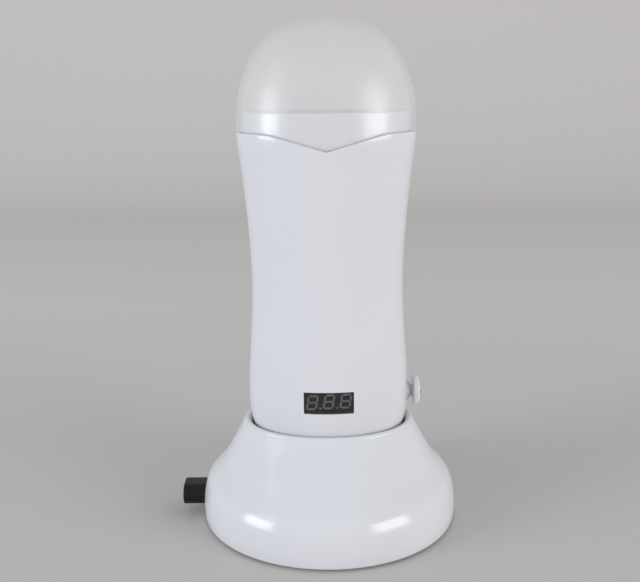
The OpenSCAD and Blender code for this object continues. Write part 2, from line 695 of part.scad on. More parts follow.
// Transformer, capacitor, switching device and terminal strip on the power board
parts_z = power_z + board_t;
coil_w = 16;
can_d = 8;
part_h = 12;
module board_parts() {
    edge = power_w / 2 - 2;
    color(black) {
        translate([-edge, -coil_w / 2 + 1, parts_z]) cube([coil_w, coil_w - 2, part_h]);
        translate([can_d / 2 - 1, -can_d / 2, parts_z]) cylinder(d = can_d, h = part_h - 1, $fn = 48);
        translate([3, can_d / 2 + 1, parts_z]) cube([10, 4.5, part_h + 2]);
        translate([edge - can_d, -power_d / 2 + 2, parts_z]) cube([can_d, can_d - 1, can_d]);
    }
}

// ---- display ----
window_t = 1.6;
window_sink = 0.3;
module_t = 6;
module_face_y = hand_face(window_w / 2, window_z) - window_sink - window_t - 0.2;
board_y = module_face_y - module_t;
board_h = 26;
board_w = 40;
board_z = shelf_z - 0.5 - board_h;                      // its upper edge stops under the shelf
post_x = 16.5;

module control_board() {
    color(board_green) translate([-board_w / 2, -board_y, board_z]) cube([board_w, board_t, board_h]);
}

module display_module() {
    color(black) translate([-window_w / 2 + 0.1, -module_face_y, window_z - window_h / 2 + 0.1])
        cube([window_w - 0.2, module_t, window_h - 0.2]);
}

// Seven bars and a point for each of the three digits, leaning to the right
digit_w = digit_h * 0.54;
bar = 0.8;
lean = 8;
module segment(x, z, upright) {
    l = (upright ? digit_h / 2 : digit_w) - 0.5;
    translate([x, z]) rotate(upright ? 90 : 0) polygon([
        [-l / 2, 0], [-l / 2 + bar / 2, bar / 2], [l / 2 - bar / 2, bar / 2],
        [l / 2, 0], [l / 2 - bar / 2, -bar / 2], [-l / 2 + bar / 2, -bar / 2]
    ]);
}
module digit() {
    slant = tan(lean) * digit_h / 2;
    for (row = [-1, 0, 1]) segment(row * slant, row * digit_h / 2, false);
    for (row = [-0.5, 0.5], s = [-1, 1])
        translate([row * slant, row * digit_h / 2]) rotate(-lean) segment(s * digit_w / 2, 0, true);
    translate([digit_w / 2 + 1.5, -digit_h / 2]) circle(d = 1, $fn = 24);
}
module display_digits() {
    color(segment_grey) for (i = [-1, 0, 1]) translate([i * window_w / 3 - 0.6, -module_face_y, window_z])
        rotate([90, 0, 0]) linear_extrude(0.12) digit();
}

// The smoked window follows the shell's curve, sunk a little below it
module display_window() {
    cols = 8;
    zs = [window_z - window_h / 2, window_z, window_z + window_h / 2];
    function line(i, inset) = let (x = -window_w / 2 + window_w * i / cols)
        [for (z = zs) [x, -hand_face(x, z, inset), z]];
    color(smoke) plate_mesh([for (i = [0:cols]) line(i, window_sink)], [for (i = [0:cols]) line(i, window_sink + window_t)]);
}

// ---- knob and potentiometer ----
pot_x = knob_seat_x - shell_wall - 2.4;                  // front face of the potentiometer's body
pot_t = 7;
bushing_end_x = knob_seat_x + boss_h - 0.4;
knob_x = knob_seat_x + boss_h + knob_gap;                // inner face of the knob's disc
shaft_end_x = knob_x + knob_t - 1.4;
hub_d = 6.6;
module at_knob(x) {
    translate([x, 0, knob_z]) rotate([0, 90, 0]) children();
}

module potentiometer() {
    color(steel) difference() {
        union() {
            translate([pot_x - pot_t, -5.5, knob_z - 6.5]) cube([pot_t, 11, 13]);
            at_knob(pot_x) cylinder(d = bushing_d, h = bushing_end_x - pot_x, $fn = 48);
        }
        at_knob(pot_x - pot_t + 1.5) cylinder(d = shaft_d + 0.1, h = 40, $fn = 48);
    }
}

module pot_shaft() {
    color(steel) at_knob(pot_x - pot_t + 1.7) cylinder(d = shaft_d, h = shaft_end_x - pot_x + pot_t - 1.7, $fn = 48);
}

crown = 1.4;                                             // how far the knob's face bulges
edge_r = 0.7;
module knob() {
    r = knob_d / 2;
    dome_r = (r * r + crown * crown) / (2 * crown);
    face = knob_t - crown;
    color(white) difference() {
        at_knob(knob_x) rotate_extrude($fn = 96) polygon(concat(
            [[0, 0], [r - edge_r, 0]],
            [for (a = [-60:30:0]) [r - edge_r + edge_r * cos(a), edge_r + edge_r * sin(a)]],
            [for (i = [0:8]) let (x = r * (1 - i / 8)) [x, face + crown - dome_r + sqrt(dome_r * dome_r - x * x)]]
        ));
        at_knob(knob_x - 1) cylinder(d = shaft_d, h = shaft_end_x - knob_x + 1, $fn = 48);
        knob_marker_pocket();
    }
    color(white) difference() {
        at_knob(bushing_end_x + run) cylinder(d = hub_d, h = knob_x - bushing_end_x - run, $fn = 48);
        at_knob(bushing_end_x) cylinder(d = shaft_d, h = 10, $fn = 48);
    }
}

// A dark dot sunk in the knob's face
marker_d = 1.8;
marker_r = 2.6;
module knob_marker_pocket() {
    translate([shaft_end_x + 0.5, -marker_r, knob_z]) rotate([0, 90, 0]) cylinder(d = marker_d, h = 4, $fn = 32);
}
module knob_marker() {
    color(black) translate([shaft_end_x + 0.5, -marker_r, knob_z]) rotate([0, 90, 0])
        cylinder(d = marker_d, h = 0.5, $fn = 32);
}

// ---- collar, well and heater ----
collar_skirt = 14;                                       // how far it reaches below the seam
collar_low_z = seam_z - collar_skirt;
collar_top_z = seam_z + collar_h;
collar_wall = 2;
collar_gap = 0.6;                                        // between the collar and the lid
collar_out = mouth_half - lid_wall - collar_gap;         // half width at the seam
deck_t = 2.4;
deck_z = collar_top_z - deck_drop - deck_t;
sleeve_top_z = deck_z;

// Above the seam the collar keeps its gap to the inside of the lid's dome
function collar_half(z) =
    z < seam_z ? min(hand_half(z) - shell_wall - fit, collar_out)
    : (mouth_half - lid_wall) * pow(1 - pow((z - seam_z) / (dome_h - lid_wall), dome_p), 1 / dome_p) - collar_gap;
function collar_point(t, z, inset) =
    let (a = collar_half(z) - inset, b = a - mouth_half * (1 - depth_ratio), p = oval(a, b, oval_n, t)) [p.x, p.y, z];
module collar() {
    angles = [for (i = [0:sides - 1]) i * 360 / sides];
    zs = [collar_low_z, flare_z + 7, seam_z, collar_top_z];
    a = collar_out - collar_wall / 2;
    color(white) difference() {
        union() {
            plate_mesh([for (t = angles) [for (z = zs) collar_point(t, z, 0)]],
                [for (t = angles) [for (z = zs) collar_point(t, z, collar_wall)]], wrap = true);
            translate([0, 0, deck_z]) linear_extrude(deck_t)
                polygon(oval_points(a, a - mouth_half * (1 - depth_ratio), oval_n));
            translate([0, 0, deck_z - 4]) linear_extrude(4 + 1)
                stadium(well_w + 2 * (sleeve_wall + fit + 1.4), well_d + 2 * (sleeve_wall + fit + 1.4));
        }
        translate([0, 0, deck_z - 10]) linear_extrude(40) stadium(well_w, well_d);
        translate([0, 0, deck_z - 10]) linear_extrude(10)
            stadium(well_w + 2 * (sleeve_wall + fit), well_d + 2 * (sleeve_wall + fit));
    }
}

module heating_sleeve() {
    color(aluminium) translate([0, 0, well_floor_z - sleeve_wall]) difference() {
        linear_extrude(sleeve_top_z - well_floor_z + sleeve_wall)
            stadium(well_w + 2 * sleeve_wall, well_d + 2 * sleeve_wall);
        translate([0, 0, sleeve_wall]) linear_extrude(200) stadium(well_w, well_d);
    }
}

plate_z0 = 96;
plate_len = 60;
sleeve_face_y = well_d / 2 + sleeve_wall;
module heater_plates() {
    color(ceramic) for (s = [-1, 1])
        translate([-(well_w - well_d) / 2, s > 0 ? sleeve_face_y : -sleeve_face_y - heater_t, plate_z0])
            cube([well_w - well_d, heater_t, plate_len]);
}

clip_h = 12;
module heater_clip() {
    inner_d = 2 * (sleeve_face_y + heater_t);
    inner_w = well_w + 2 * (sleeve_wall + clip_gap);
    color(steel) for (z = [plate_z0 + 8, plate_z0 + plate_len - 8 - clip_h]) translate([0, 0, z]) linear_extrude(clip_h) difference() {
        stadium(inner_w + 2 * clip_t, inner_d + 2 * clip_t);
        stadium(inner_w, inner_d);
    }
}

// The thermal fuse and the sensor lie against the sleeve below the heater plates
module thermal_fuse() {
    color(steel) translate([-5, sleeve_face_y + 2, plate_z0 - 6]) rotate([0, 90, 0]) {
        cylinder(d = 4, h = 10, $fn = 48);
        translate([0, 0, -2]) cylinder(d = 1, h = 14, $fn = 24);
    }
}

module temperature_sensor() {
    color(red_wire) translate([-4, -sleeve_face_y - 1.4, plate_z0 - 6]) rotate([0, 90, 0])
        cylinder(d = 2.8, h = 8, $fn = 48);
}

// Two leads from the power board up past the sleeve to the heater plates
module heater_leads() {
    low = [power_w / 2 - 4, power_d / 2 - 2];
    up = [(well_w - well_d) / 2 + 8, well_d / 2 - 2.5];
    color(red_wire) for (s = [-1, 1]) tube([
        [s * low.x, s * low.y, parts_z], [s * low.x, s * low.y, parts_z + 4], [s * low.x, s * (low.y + 1.5), parts_z + 12],
        [s * (up.x + 0.5), s * (up.y - 1.5), shelf_z - 8], [s * up.x, s * up.y, shelf_z - 3], [s * up.x, s * up.y, shelf_z]
    ], lead_d, 8, [1, 0, 0]);
}

// ---- lid ----
dome_angles = [for (f = [14, 30, 44, 56, 66, 75, 83]) f];
module lid() {
    // A line up the lid from its edge, which follows the seam, to just short of the pole
    function line(t, inset) = concat(
        [hand_point(t, seam_at(t) + lid_gap, inset)],
        [let (z = seam_z + 1.5) hand_point(t, z, inset)],
        [for (f = dome_angles)
            let (c = pow(cos(f), 2 / dome_p), p = oval((mouth_half - inset) * c, (mouth_half * depth_ratio - inset) * c, oval_n, t))
            [p.x, p.y, seam_z + (dome_h - inset) * pow(sin(f), 2 / dome_p)]]
    );
    angles = [for (i = [0:sides - 1]) i * 360 / sides];
    color(clear) bowl_mesh([for (t = angles) line(t, 0)], [0, 0, dome_top_z],
        [for (t = angles) line(t, lid_wall)], [0, 0, dome_top_z - lid_wall]);
}

base_shell();
base_plate();
foot_ring();
base_screws();
contact_block();
contact_pin_left();
contact_pin_right();
contact_spring_left();
contact_spring_right();
contact_terminals();
inlet_housing();
inlet_pins();
inlet_screws();
base_leads();
front_shell();
rear_shell();
bottom_cap();
cap_screws();
contact_studs();
stud_leads();
power_board();
board_parts();
control_board();
display_module();
display_digits();
display_window();
potentiometer();
collar();
heating_sleeve();
heater_plates();
heater_clip();
thermal_fuse();
temperature_sensor();
heater_leads();
pot_shaft();
knob();
knob_marker();
lid();
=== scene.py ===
import math
from functools import partial

import bmesh
import bpy
import numpy as np
from mathutils import Matrix, Vector


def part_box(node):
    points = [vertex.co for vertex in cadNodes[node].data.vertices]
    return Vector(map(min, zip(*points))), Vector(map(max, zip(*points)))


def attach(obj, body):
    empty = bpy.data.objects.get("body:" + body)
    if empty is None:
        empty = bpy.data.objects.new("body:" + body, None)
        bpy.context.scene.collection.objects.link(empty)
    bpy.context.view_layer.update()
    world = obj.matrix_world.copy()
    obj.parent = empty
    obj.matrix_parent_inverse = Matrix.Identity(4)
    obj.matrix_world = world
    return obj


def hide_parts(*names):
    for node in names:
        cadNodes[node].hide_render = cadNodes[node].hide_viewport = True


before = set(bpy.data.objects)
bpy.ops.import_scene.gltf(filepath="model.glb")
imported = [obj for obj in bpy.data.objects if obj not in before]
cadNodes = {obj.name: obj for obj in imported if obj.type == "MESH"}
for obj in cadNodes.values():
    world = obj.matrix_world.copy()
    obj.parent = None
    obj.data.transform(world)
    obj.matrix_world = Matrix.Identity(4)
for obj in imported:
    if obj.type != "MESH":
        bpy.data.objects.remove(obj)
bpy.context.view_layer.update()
scene = bpy.context.scene
creaseAngle = math.radians(38)  # edges sharper than this stay sharp
print("frame loaded:", len(cadNodes), "nodes")


def addNode(tree, kind, inputs=None, **settings):
    node = tree.nodes.new(kind)
    for name, value in settings.items():
        setattr(node, name, value)
    for key, value in (inputs or {}).items():
        if isinstance(key, int):
            socket = node.inputs[key]
        else:
            socket = next(s for s in node.inputs if s.name == key and s.enabled)
        if isinstance(value, bpy.types.NodeSocket):
            tree.links.new(value, socket)
        else:
            socket.default_value = value
    return node


def linear(hexCode, factor=1.0):
    # sRGB hex to Blender's linear values
    parts = [int(hexCode[i:i + 2], 16) / 255 for i in (1, 3, 5)]
    values = [c / 12.92 if c <= 0.04045 else ((c + 0.055) / 1.055) ** 2.4 for c in parts]
    return tuple(min(1.0, c * factor) for c in values) + (1.0,)


# grainSize and grainDepth are in mm; tint is how far the colour wanders
finishKinds = {
    # gloss-moulded ABS: cool white, near mirror-smooth, with a trace of ripple from the tool
    "abs": dict(name="glossMouldedAbs", base="#DDDEE2", roughness=0.18, ior=1.53,
                grainSize=2.6, grainDepth=0.004, tint=0.012),
    # smoked acrylic: polished, and the unlit figures show through it
    "window": dict(name="smokedAcrylic", base="#D0D0D4", roughness=0.05, ior=1.49, transmission=1.0,
                   grainSize=4.0, grainDepth=0.001, tint=0.01),
    # spark-eroded nylon: black with a fine matt texture
    "nylon": dict(name="texturedNylon", base="#111110", roughness=0.42, ior=1.38,
                  grainSize=0.45, grainDepth=0.012, tint=0.12),
    # moulded rubber: near black and dull
    "rubber": dict(name="mouldedRubber", base="#1C1C1C", roughness=0.75, ior=1.52,
                   grainSize=0.5, grainDepth=0.02, tint=0.1),
    # zinc plating: cool grey with a soft shine
    "zinc": dict(name="zincPlatedSteel", base="#B9BCC0", roughness=0.32, metallic=1.0, grainSize=0.4, grainDepth=0.003),
    # nickel plating: warmer and brighter than the zinc
    "nickel": dict(name="nickelPlating", base="#C9C6BE", roughness=0.2, metallic=1.0, grainSize=0.6, grainDepth=0.001),
    # turned brass: yellow, with fine marks
    "brass": dict(name="turnedBrass", base="#D8B36A", roughness=0.24, metallic=1.0, grainSize=0.3, grainDepth=0.002),
    # drawn aluminium: satin, with fine lines along the draw
    "aluminium": dict(name="drawnAluminium", base="#D4D6D8", roughness=0.5, metallic=1.0,
                      grainSize=0.5, grainDepth=0.003, stretch=(1, 1, 0.06)),
    # spring steel: bare, and darker than the plated parts
    "springSteel": dict(name="springSteel", base="#A9ABAE", roughness=0.28, metallic=1.0, grainSize=0.4, grainDepth=0.002),
    # pressed ceramic: cream and chalky
    "ceramic": dict(name="pressedCeramic", base="#DAD3BF", roughness=0.6, ior=1.6, grainSize=0.5, grainDepth=0.01),
    # solder mask: green lacquer with an even gloss
    "solderMask": dict(name="solderMask", base="#1E5B34", roughness=0.35, ior=1.52,
                       grainSize=1.2, grainDepth=0.01, tint=0.1),
    # moulded epoxy: charcoal and matt
    "epoxy": dict(name="mouldedEpoxy", base="#232324", roughness=0.55, ior=1.55, grainSize=0.4, grainDepth=0.01, tint=0.1),
    # silicone sleeving: slightly waxy, deep red here and black below
    "redSleeving": dict(name="siliconeSleeving", base="#8E1F1A", roughness=0.5, ior=1.43,
                        grainSize=0.6, grainDepth=0.01, tint=0.06),
    "blackSleeving": dict(name="blackSleeving", base="#202020", roughness=0.5, ior=1.43,
                          grainSize=0.6, grainDepth=0.01, tint=0.06),
    # unlit display segments: pale grey diffuser
    "segment": dict(name="segmentDiffuser", base="#C8C8C2", roughness=0.5, grainSize=0.3, grainDepth=0.004, tint=0.04),
    # matt paper roll under and behind the object; its last entry is painted light standing in for a lamp on the
    # backdrop: where the paler band starts and ends, and how pale it gets
    "paper": dict(name="mattPaper", base="#CDC9C6", roughness=0.85, ior=1.45,
                  grainSize=4.0, grainDepth=0.02, tint=0.01, paintedBacklight=(0.0, 0.42, 1.17)),
}
# moulded polypropylene of the lid: clear with a milky haze, and brighter along its outline
lidFinish = dict(base="#FCFCFC", clear="#FEFEFE", shine="#FFFFFF", roughness=0.34, milk=0.15,
                 grainSize=3.5, grainDepth=0.006, edgePower=4.5, edgeShine=0.5, faceShine=0.03)


def startFinish(name, grainSize, grainDepth, stretch=(1, 1, 1)):
    # a new material, its object coordinates, and the bump that moulding or drawing leaves
    material = bpy.data.materials.new(name)
    material.use_nodes = True
    tree = material.node_tree
    place = addNode(tree, "ShaderNodeTexCoord").outputs["Object"]
    place = addNode(tree, "ShaderNodeMapping", {"Vector": place, "Scale": stretch}).outputs["Vector"]
    grain = addNode(tree, "ShaderNodeTexNoise", {"Vector": place, "Scale": 1000 / grainSize, "Detail": 2.0}).outputs[0]
    bump = addNode(tree, "ShaderNodeBump", {"Height": grain, "Strength": 1.0, "Distance": grainDepth * 0.001})
    return material, tree, place, bump.outputs["Normal"]


def makeFinish(name, base, roughness, ior=1.5, metallic=0.0, transmission=0.0, grainSize=1.0, grainDepth=0.002,
               tint=0.03, stretch=(1, 1, 1), paintedBacklight=None):
    material, tree, place, normal = startFinish(name, grainSize, grainDepth, stretch)
    shader = tree.nodes["Principled BSDF"]
    cloud = addNode(tree, "ShaderNodeTexNoise", {"Vector": place, "Scale": 60.0, "Detail": 3.0}).outputs[0]
    mix = addNode(tree, "ShaderNodeMix", {0: cloud}, data_type="RGBA")
    mix.inputs[6].default_value, mix.inputs[7].default_value = linear(base, 1 - tint), linear(base, 1 + tint)
    tone = mix.outputs[2]
    if paintedBacklight:  # painted light: the roll is made paler towards its far end, standing in for a lamp on the backdrop
        depth = addNode(tree, "ShaderNodeSeparateXYZ", {0: place}).outputs[1]
        share = addNode(tree, "ShaderNodeMapRange", {0: depth, 1: paintedBacklight[0], 2: paintedBacklight[1], 3: 1.0, 4: paintedBacklight[2]}).outputs[0]
        tone = addNode(tree, "ShaderNodeVectorMath", {0: tone, 3: share}, operation="SCALE").outputs[0]
    tree.links.new(tone, shader.inputs["Base Color"])
    tree.links.new(normal, shader.inputs["Normal"])
    shader.inputs["Roughness"].default_value = roughness
    shader.inputs["Metallic"].default_value = metallic
    shader.inputs["Transmission Weight"].default_value = transmission
    if not metallic:
        shader.inputs["IOR"].default_value = ior
    return material


def makeLidFinish(name, kind):
    # a clear wall with a thin veil of scatter, and a soft shine that grows where it is seen edge-on
    material, tree, _, normal = startFinish(name, kind["grainSize"], kind["grainDepth"])
    clear = addNode(tree, "ShaderNodeBsdfTransparent", {0: linear(kind["clear"])}).outputs[0]
    veil = addNode(tree, "ShaderNodeBsdfDiffuse", {0: linear(kind["base"])}).outputs[0]
    body = addNode(tree, "ShaderNodeMixShader", {0: kind["milk"], 1: clear, 2: veil}).outputs[0]
    facing = addNode(tree, "ShaderNodeLayerWeight", {"Blend": 0.5}).outputs["Facing"]
    steep = addNode(tree, "ShaderNodeMath", {0: facing, 1: kind["edgePower"]}, operation="POWER").outputs[0]
    amounts = {0: steep, 1: kind["edgeShine"], 2: kind["faceShine"]}
    edge = addNode(tree, "ShaderNodeMath", amounts, operation="MULTIPLY_ADD").outputs[0]
    gloss = {"Color": linear(kind["shine"]), "Roughness": kind["roughness"], "Normal": normal}
    shine = addNode(tree, "ShaderNodeBsdfAnisotropic", gloss).outputs[0]
    blend = addNode(tree, "ShaderNodeMixShader", {0: edge, 1: body, 2: shine}).outputs[0]
    tree.links.new(blend, tree.nodes["Material Output"].inputs["Surface"])
    tree.nodes.remove(tree.nodes["Principled BSDF"])
    return material


finishes = {key: makeFinish(**kind) for key, kind in finishKinds.items()}
finishes["lid"] = makeLidFinish("milkyPolypropylene", lidFinish)
nodeFinishes = {
    "abs": ["base_shell", "base_plate", "front_shell", "rear_shell", "bottom_cap", "collar", "knob"],
    "zinc": ["base_screws", "cap_screws", "inlet_screws"],
    "nylon": ["contact_block", "inlet_housing", "display_module"],
    "brass": ["contact_pin_left", "contact_pin_right", "contact_terminals", "contact_studs"],
    "springSteel": ["contact_spring_left", "contact_spring_right", "heater_clip"],
    "nickel": ["inlet_pins", "potentiometer", "pot_shaft", "thermal_fuse"],
    "rubber": ["foot_ring"], "aluminium": ["heating_sleeve"], "ceramic": ["heater_plates"],
    "redSleeving": ["stud_leads", "heater_leads", "temperature_sensor"], "blackSleeving": ["base_leads"],
    "solderMask": ["power_board", "control_board"], "epoxy": ["board_parts", "knob_marker"],
    "segment": ["display_digits"], "window": ["display_window"], "lid": ["lid"],
}
for key, names in nodeFinishes.items():
    for name in names:
        cadNodes[name].data.materials.clear()
        cadNodes[name].data.materials.append(finishes[key])
print("finishes:", len(finishes))


def signedVolume(mesh):
    mesh.calc_loop_triangles()
    points = np.zeros(len(mesh.vertices) * 3)
    mesh.vertices.foreach_get("co", points)
    corners = np.zeros(len(mesh.loop_triangles) * 3, int)
    mesh.loop_triangles.foreach_get("vertices", corners)
    p = points.reshape(-1, 3)[corners.reshape(-1, 3)]
    return float(np.einsum("ij,ij->i", p[:, 0], np.cross(p[:, 1], p[:, 2])).sum()) / 6


def settle(mesh):
    # faces point outwards, and only real edges stay sharp
    if signedVolume(mesh) < 0:
        mesh.flip_normals()
    mesh.set_sharp_from_angle(angle=creaseAngle)


def newPiece(name, verts, faces):
    # vertices come in millimetres
    mesh = bpy.data.meshes.new(name)
    mesh.from_pydata((np.asarray(verts, float) * 0.001).tolist(), [], faces)
    mesh.polygons.foreach_set("use_smooth", [True] * len(mesh.polygons))
    settle(mesh)
    piece = bpy.data.objects.new(name, mesh)
    scene.collection.objects.link(piece)
    return piece


def loft(name, rings, poles=None, capped=False):
    # closed loops of points joined one to the next; the ends go to a pole, get a flat cap, or meet each other
    rings = np.asarray(rings, float)
    count, around = rings.shape[:2]
    verts = rings.reshape(-1, 3).tolist()
    faces = []
    for i in range(count - 1 if poles or capped else count):
        k = (i + 1) % count
        for j in range(around):
            m = (j + 1) % around
            faces.append((i * around + j, i * around + m, k * around + m, k * around + j))
    last = (count - 1) * around
    if capped:
        faces += [tuple(range(around - 1, -1, -1)), tuple(range(last, last + around))]
    if poles:
        low = len(verts)
        verts += [tuple(p) for p in poles]
        for j in range(around):
            m = (j + 1) % around
            faces += [(low, m, j), (low + 1, last + j, last + m)]
    return newPiece(name, verts, faces)


def turned(name, profile, axis="z", at=(0, 0, 0), around=96):
    # profile of (radius, height); a radius of 0 at both ends closes it on the axis
    turns = np.linspace(0, 2 * math.pi, around, endpoint=False)
    rings = np.array([[(r * math.cos(t), r * math.sin(t), z) for t in turns] for r, z in profile if r > 1e-6])
    poles = np.array([(0, 0, profile[0][1]), (0, 0, profile[-1][1])], float)
    if axis == "x":
        rings, poles = rings[..., [2, 0, 1]], poles[:, [2, 0, 1]]
    ringShaped = profile[0][0] > 1e-6
    return loft(name, rings + at, None if ringShaped else (poles + at).tolist())


def keepShape(piece):
    # the modifiers' result becomes the piece's own plain mesh
    graph = bpy.context.evaluated_depsgraph_get()
    mesh = bpy.data.meshes.new_from_object(piece.evaluated_get(graph))
    piece.modifiers.clear()
    piece.data = mesh
    settle(mesh)


def cutAway(piece, cutter):
    cut = piece.modifiers.new("cut", "BOOLEAN")
    cut.operation, cut.solver, cut.object = "DIFFERENCE", "EXACT", cutter
    keepShape(piece)
    clean = bmesh.new()
    clean.from_mesh(piece.data)
    bmesh.ops.remove_doubles(clean, verts=clean.verts, dist=3e-6)
    clean.to_mesh(piece.data)
    clean.free()
    bpy.data.objects.remove(cutter)


def join(pieces):
    with bpy.context.temp_override(active_object=pieces[0], selected_editable_objects=pieces):
        bpy.ops.object.join()
    return pieces[0]


def setInPlace(piece, finish, body, slot, *replaced):
    piece.data.materials.clear()
    piece.data.materials.append(finishes[finish])
    piece.data.polygons.foreach_set("material_index", [0] * len(piece.data.polygons))
    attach(piece, body)
    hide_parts(*replaced)
    print(piece.name + ":", len(piece.data.polygons), "faces")


def arc(x, y, radius, start, end, steps):
    return [(x + radius * math.cos(a), y + radius * math.sin(a)) for a in np.radians(np.linspace(start, end, steps + 1))]


# the hand unit's outline, in millimetres, as the solids have it
hand = {
    "bellyHalf": 37.9, "bellyZ": 62, "waistHalf": 35.3, "waistZ": 116,
    "mouthHalf": 40.6, "seamZ": 186, "flareDrop": 14, "flareIn": 1.4, "flareSlope": 0.115, "depthRatio": 0.76,
    "wall": 2.4, "exponent": 2.1, "veeDrop": 7.4, "veeHalf": 26, "veeSoft": 0.015,
    "capZ": 34, "capGap": 0.1, "heelRadius": 55, "bottomZ": 23.2,
    "domeHeight": 51, "domeExponent": 2.3, "partingRadius": 0.3, "rimRadius": 0.4,
}
stations = [
    (hand["bellyZ"], hand["bellyHalf"], 0), (hand["waistZ"], hand["waistHalf"], 0),
    (hand["seamZ"] - hand["flareDrop"], hand["mouthHalf"] - hand["flareIn"], hand["flareSlope"]),
    (hand["seamZ"], hand["mouthHalf"], 0),
]


def hermite(p, q, z):
    # p and q are (height, half width, slope)
    span = q[0] - p[0]
    t = (z - p[0]) / span
    ease = t * t * (3 - 2 * t)
    return p[1] + (q[1] - p[1]) * ease + span * (p[2] * (t - 2 * t * t + t ** 3) + q[2] * (t ** 3 - t * t))


def domeHalf(z, inset):
    rise = max(0.0, z - hand["seamZ"]) / (hand["domeHeight"] - inset)
    p = hand["domeExponent"]
    return (hand["mouthHalf"] - inset) * max(0.0, 1 - rise ** p) ** (1 / p)


def halfWidth(z):
    if z < hand["bellyZ"]:
        return hand["bellyHalf"] - hand["heelRadius"] + math.sqrt(hand["heelRadius"] ** 2 - (hand["bellyZ"] - z) ** 2)
    for p, q in zip(stations, stations[1:]):
        if z < q[0]:
            return hermite(p, q, z)
    return domeHalf(z, 0.0)


def oval(a, b, n, angle):
    c, s = math.cos(angle), math.sin(angle)
    return math.copysign(abs(c) ** (2 / n), c) * a, math.copysign(abs(s) ** (2 / n), s) * b


def handPoint(angle, z, inset=0.0):
    a = halfWidth(z)
    return oval(a - inset, a * hand["depthRatio"] - inset, hand["exponent"], angle) + (z,)


def faceDepth(x, z, inset=0.0):
    # how far the front lies from the middle, x across and z up
    a, b, n = halfWidth(z) - inset, halfWidth(z) * hand["depthRatio"] - inset, hand["exponent"]
    return b * max(0.0, 1 - (abs(x) / a) ** n) ** (1 / n)


def seamHeight(angle):
    # level at the sides, with a softened V front and rear
    s = 1 - abs(oval(hand["mouthHalf"], 1, hand["exponent"], angle)[0]) / hand["veeHalf"]
    return hand["seamZ"] - hand["veeDrop"] * (s + math.sqrt(s * s + hand["veeSoft"])) / 2


def newTree(name, **sockets):
    tree = bpy.data.node_groups.new(name, "GeometryNodeTree")
    tree.interface.new_socket("Geometry", in_out="INPUT", socket_type="NodeSocketGeometry")
    for key, (kind, value) in sockets.items():
        socket = tree.interface.new_socket(key, in_out="INPUT", socket_type="NodeSocket" + kind)
        if value is not None:
            socket.default_value = value
    tree.interface.new_socket("Geometry", in_out="OUTPUT", socket_type="NodeSocketGeometry")
    return tree, addNode(tree, "NodeGroupInput").outputs


def endTree(tree, geometry, material):
    real = addNode(tree, "GeometryNodeRealizeInstances", {"Geometry": geometry}).outputs[0]
    made = addNode(tree, "GeometryNodeSetMaterial", {"Geometry": real, "Material": material}).outputs[0]
    addNode(tree, "NodeGroupOutput", {"Geometry": made})


def grow(piece, tree, **values):
    modifier = piece.modifiers.new(tree.name, "NODES")
    modifier.node_group = tree
    for item in tree.interface.items_tree:
        if item.in_out == "INPUT" and item.name in values:
            modifier[item.identifier] = values[item.name]
    keepShape(piece)


def pointSet(name, points, **attributes):
    # loose vertices, in millimetres, that carry values for a tree to read
    mesh = bpy.data.meshes.new(name)
    mesh.from_pydata((np.asarray(points, float) * 0.001).tolist(), [], [])
    for key, values in attributes.items():
        mesh.attributes.new(key, "FLOAT", "POINT").data.foreach_set("value", [float(v) for v in values])
    piece = bpy.data.objects.new(name, mesh)
    scene.collection.objects.link(piece)
    return piece


def calculate(tree, operation, a, b=None):
    return addNode(tree, "ShaderNodeMath", {0: a} if b is None else {0: a, 1: b}, operation=operation).outputs[0]


def openSocket(sockets):
    return next(s for s in sockets if s.enabled)


def readValue(tree, name):
    return openSocket(addNode(tree, "GeometryNodeInputNamedAttribute", {"Name": name}, data_type="FLOAT").outputs)


def unrolled(tree, given):
    # a grid to roll round an axis: the sheet, each point's ring, and how far round it lies from 0 to 1
    columns = calculate(tree, "ADD", given["Around"], 1.0)
    sheet = addNode(tree, "GeometryNodeMeshGrid", {"Vertices X": given["Rings"], "Vertices Y": columns}).outputs[0]
    index = addNode(tree, "GeometryNodeInputIndex").outputs[0]
    ring = calculate(tree, "FLOOR", calculate(tree, "DIVIDE", calculate(tree, "ADD", index, 0.5), columns))
    step = calculate(tree, "SUBTRACT", index, calculate(tree, "MULTIPLY", ring, columns))
    return sheet, ring, calculate(tree, "DIVIDE", step, given["Around"])


# ovalLoft turns a section round the axis; each point holds half width, half depth and height, and the
# exponent of its oval, so a round foot can grow into an oval rim
ovalLoft, given = newTree("ovalLoft", Rings=("Int", 3), Around=("Int", 96), Material=("Material", None))
ovalNode, ovalMath = partial(addNode, ovalLoft), partial(calculate, ovalLoft)
sheet, ring, lap = unrolled(ovalLoft, given)
turn = ovalMath("MULTIPLY", lap, 2 * math.pi)
place = ovalNode("GeometryNodeInputPosition").outputs[0]
found = []
for kind, value in (("FLOAT_VECTOR", place), ("FLOAT", readValue(ovalLoft, "exponent"))):
    sources = {"Geometry": given["Geometry"], "Value": value, "Index": ring}
    found.append(openSocket(ovalNode("GeometryNodeSampleIndex", sources, data_type=kind).outputs))
reach = ovalNode("ShaderNodeSeparateXYZ", {0: found[0]}).outputs
bend = ovalMath("DIVIDE", 2.0, found[1])
across = []
for wave, side in (("COSINE", reach[0]), ("SINE", reach[1])):
    value = ovalMath(wave, turn)
    size = ovalMath("POWER", ovalMath("ABSOLUTE", value), bend)
    signed = ovalMath("MULTIPLY", size, ovalMath("SIGN", value))
    across.append(ovalMath("MULTIPLY", signed, side))
target = ovalNode("ShaderNodeCombineXYZ", {0: across[0], 1: across[1], 2: reach[2]}).outputs[0]
swept = ovalNode("GeometryNodeSetPosition", {"Geometry": sheet, "Position": target}).outputs[0]
swept = ovalNode("GeometryNodeMergeByDistance", {"Geometry": swept, "Distance": 2e-6}).outputs[0]
endTree(ovalLoft, ovalNode("GeometryNodeSetShadeSmooth", {"Geometry": swept}).outputs[0], given["Material"])

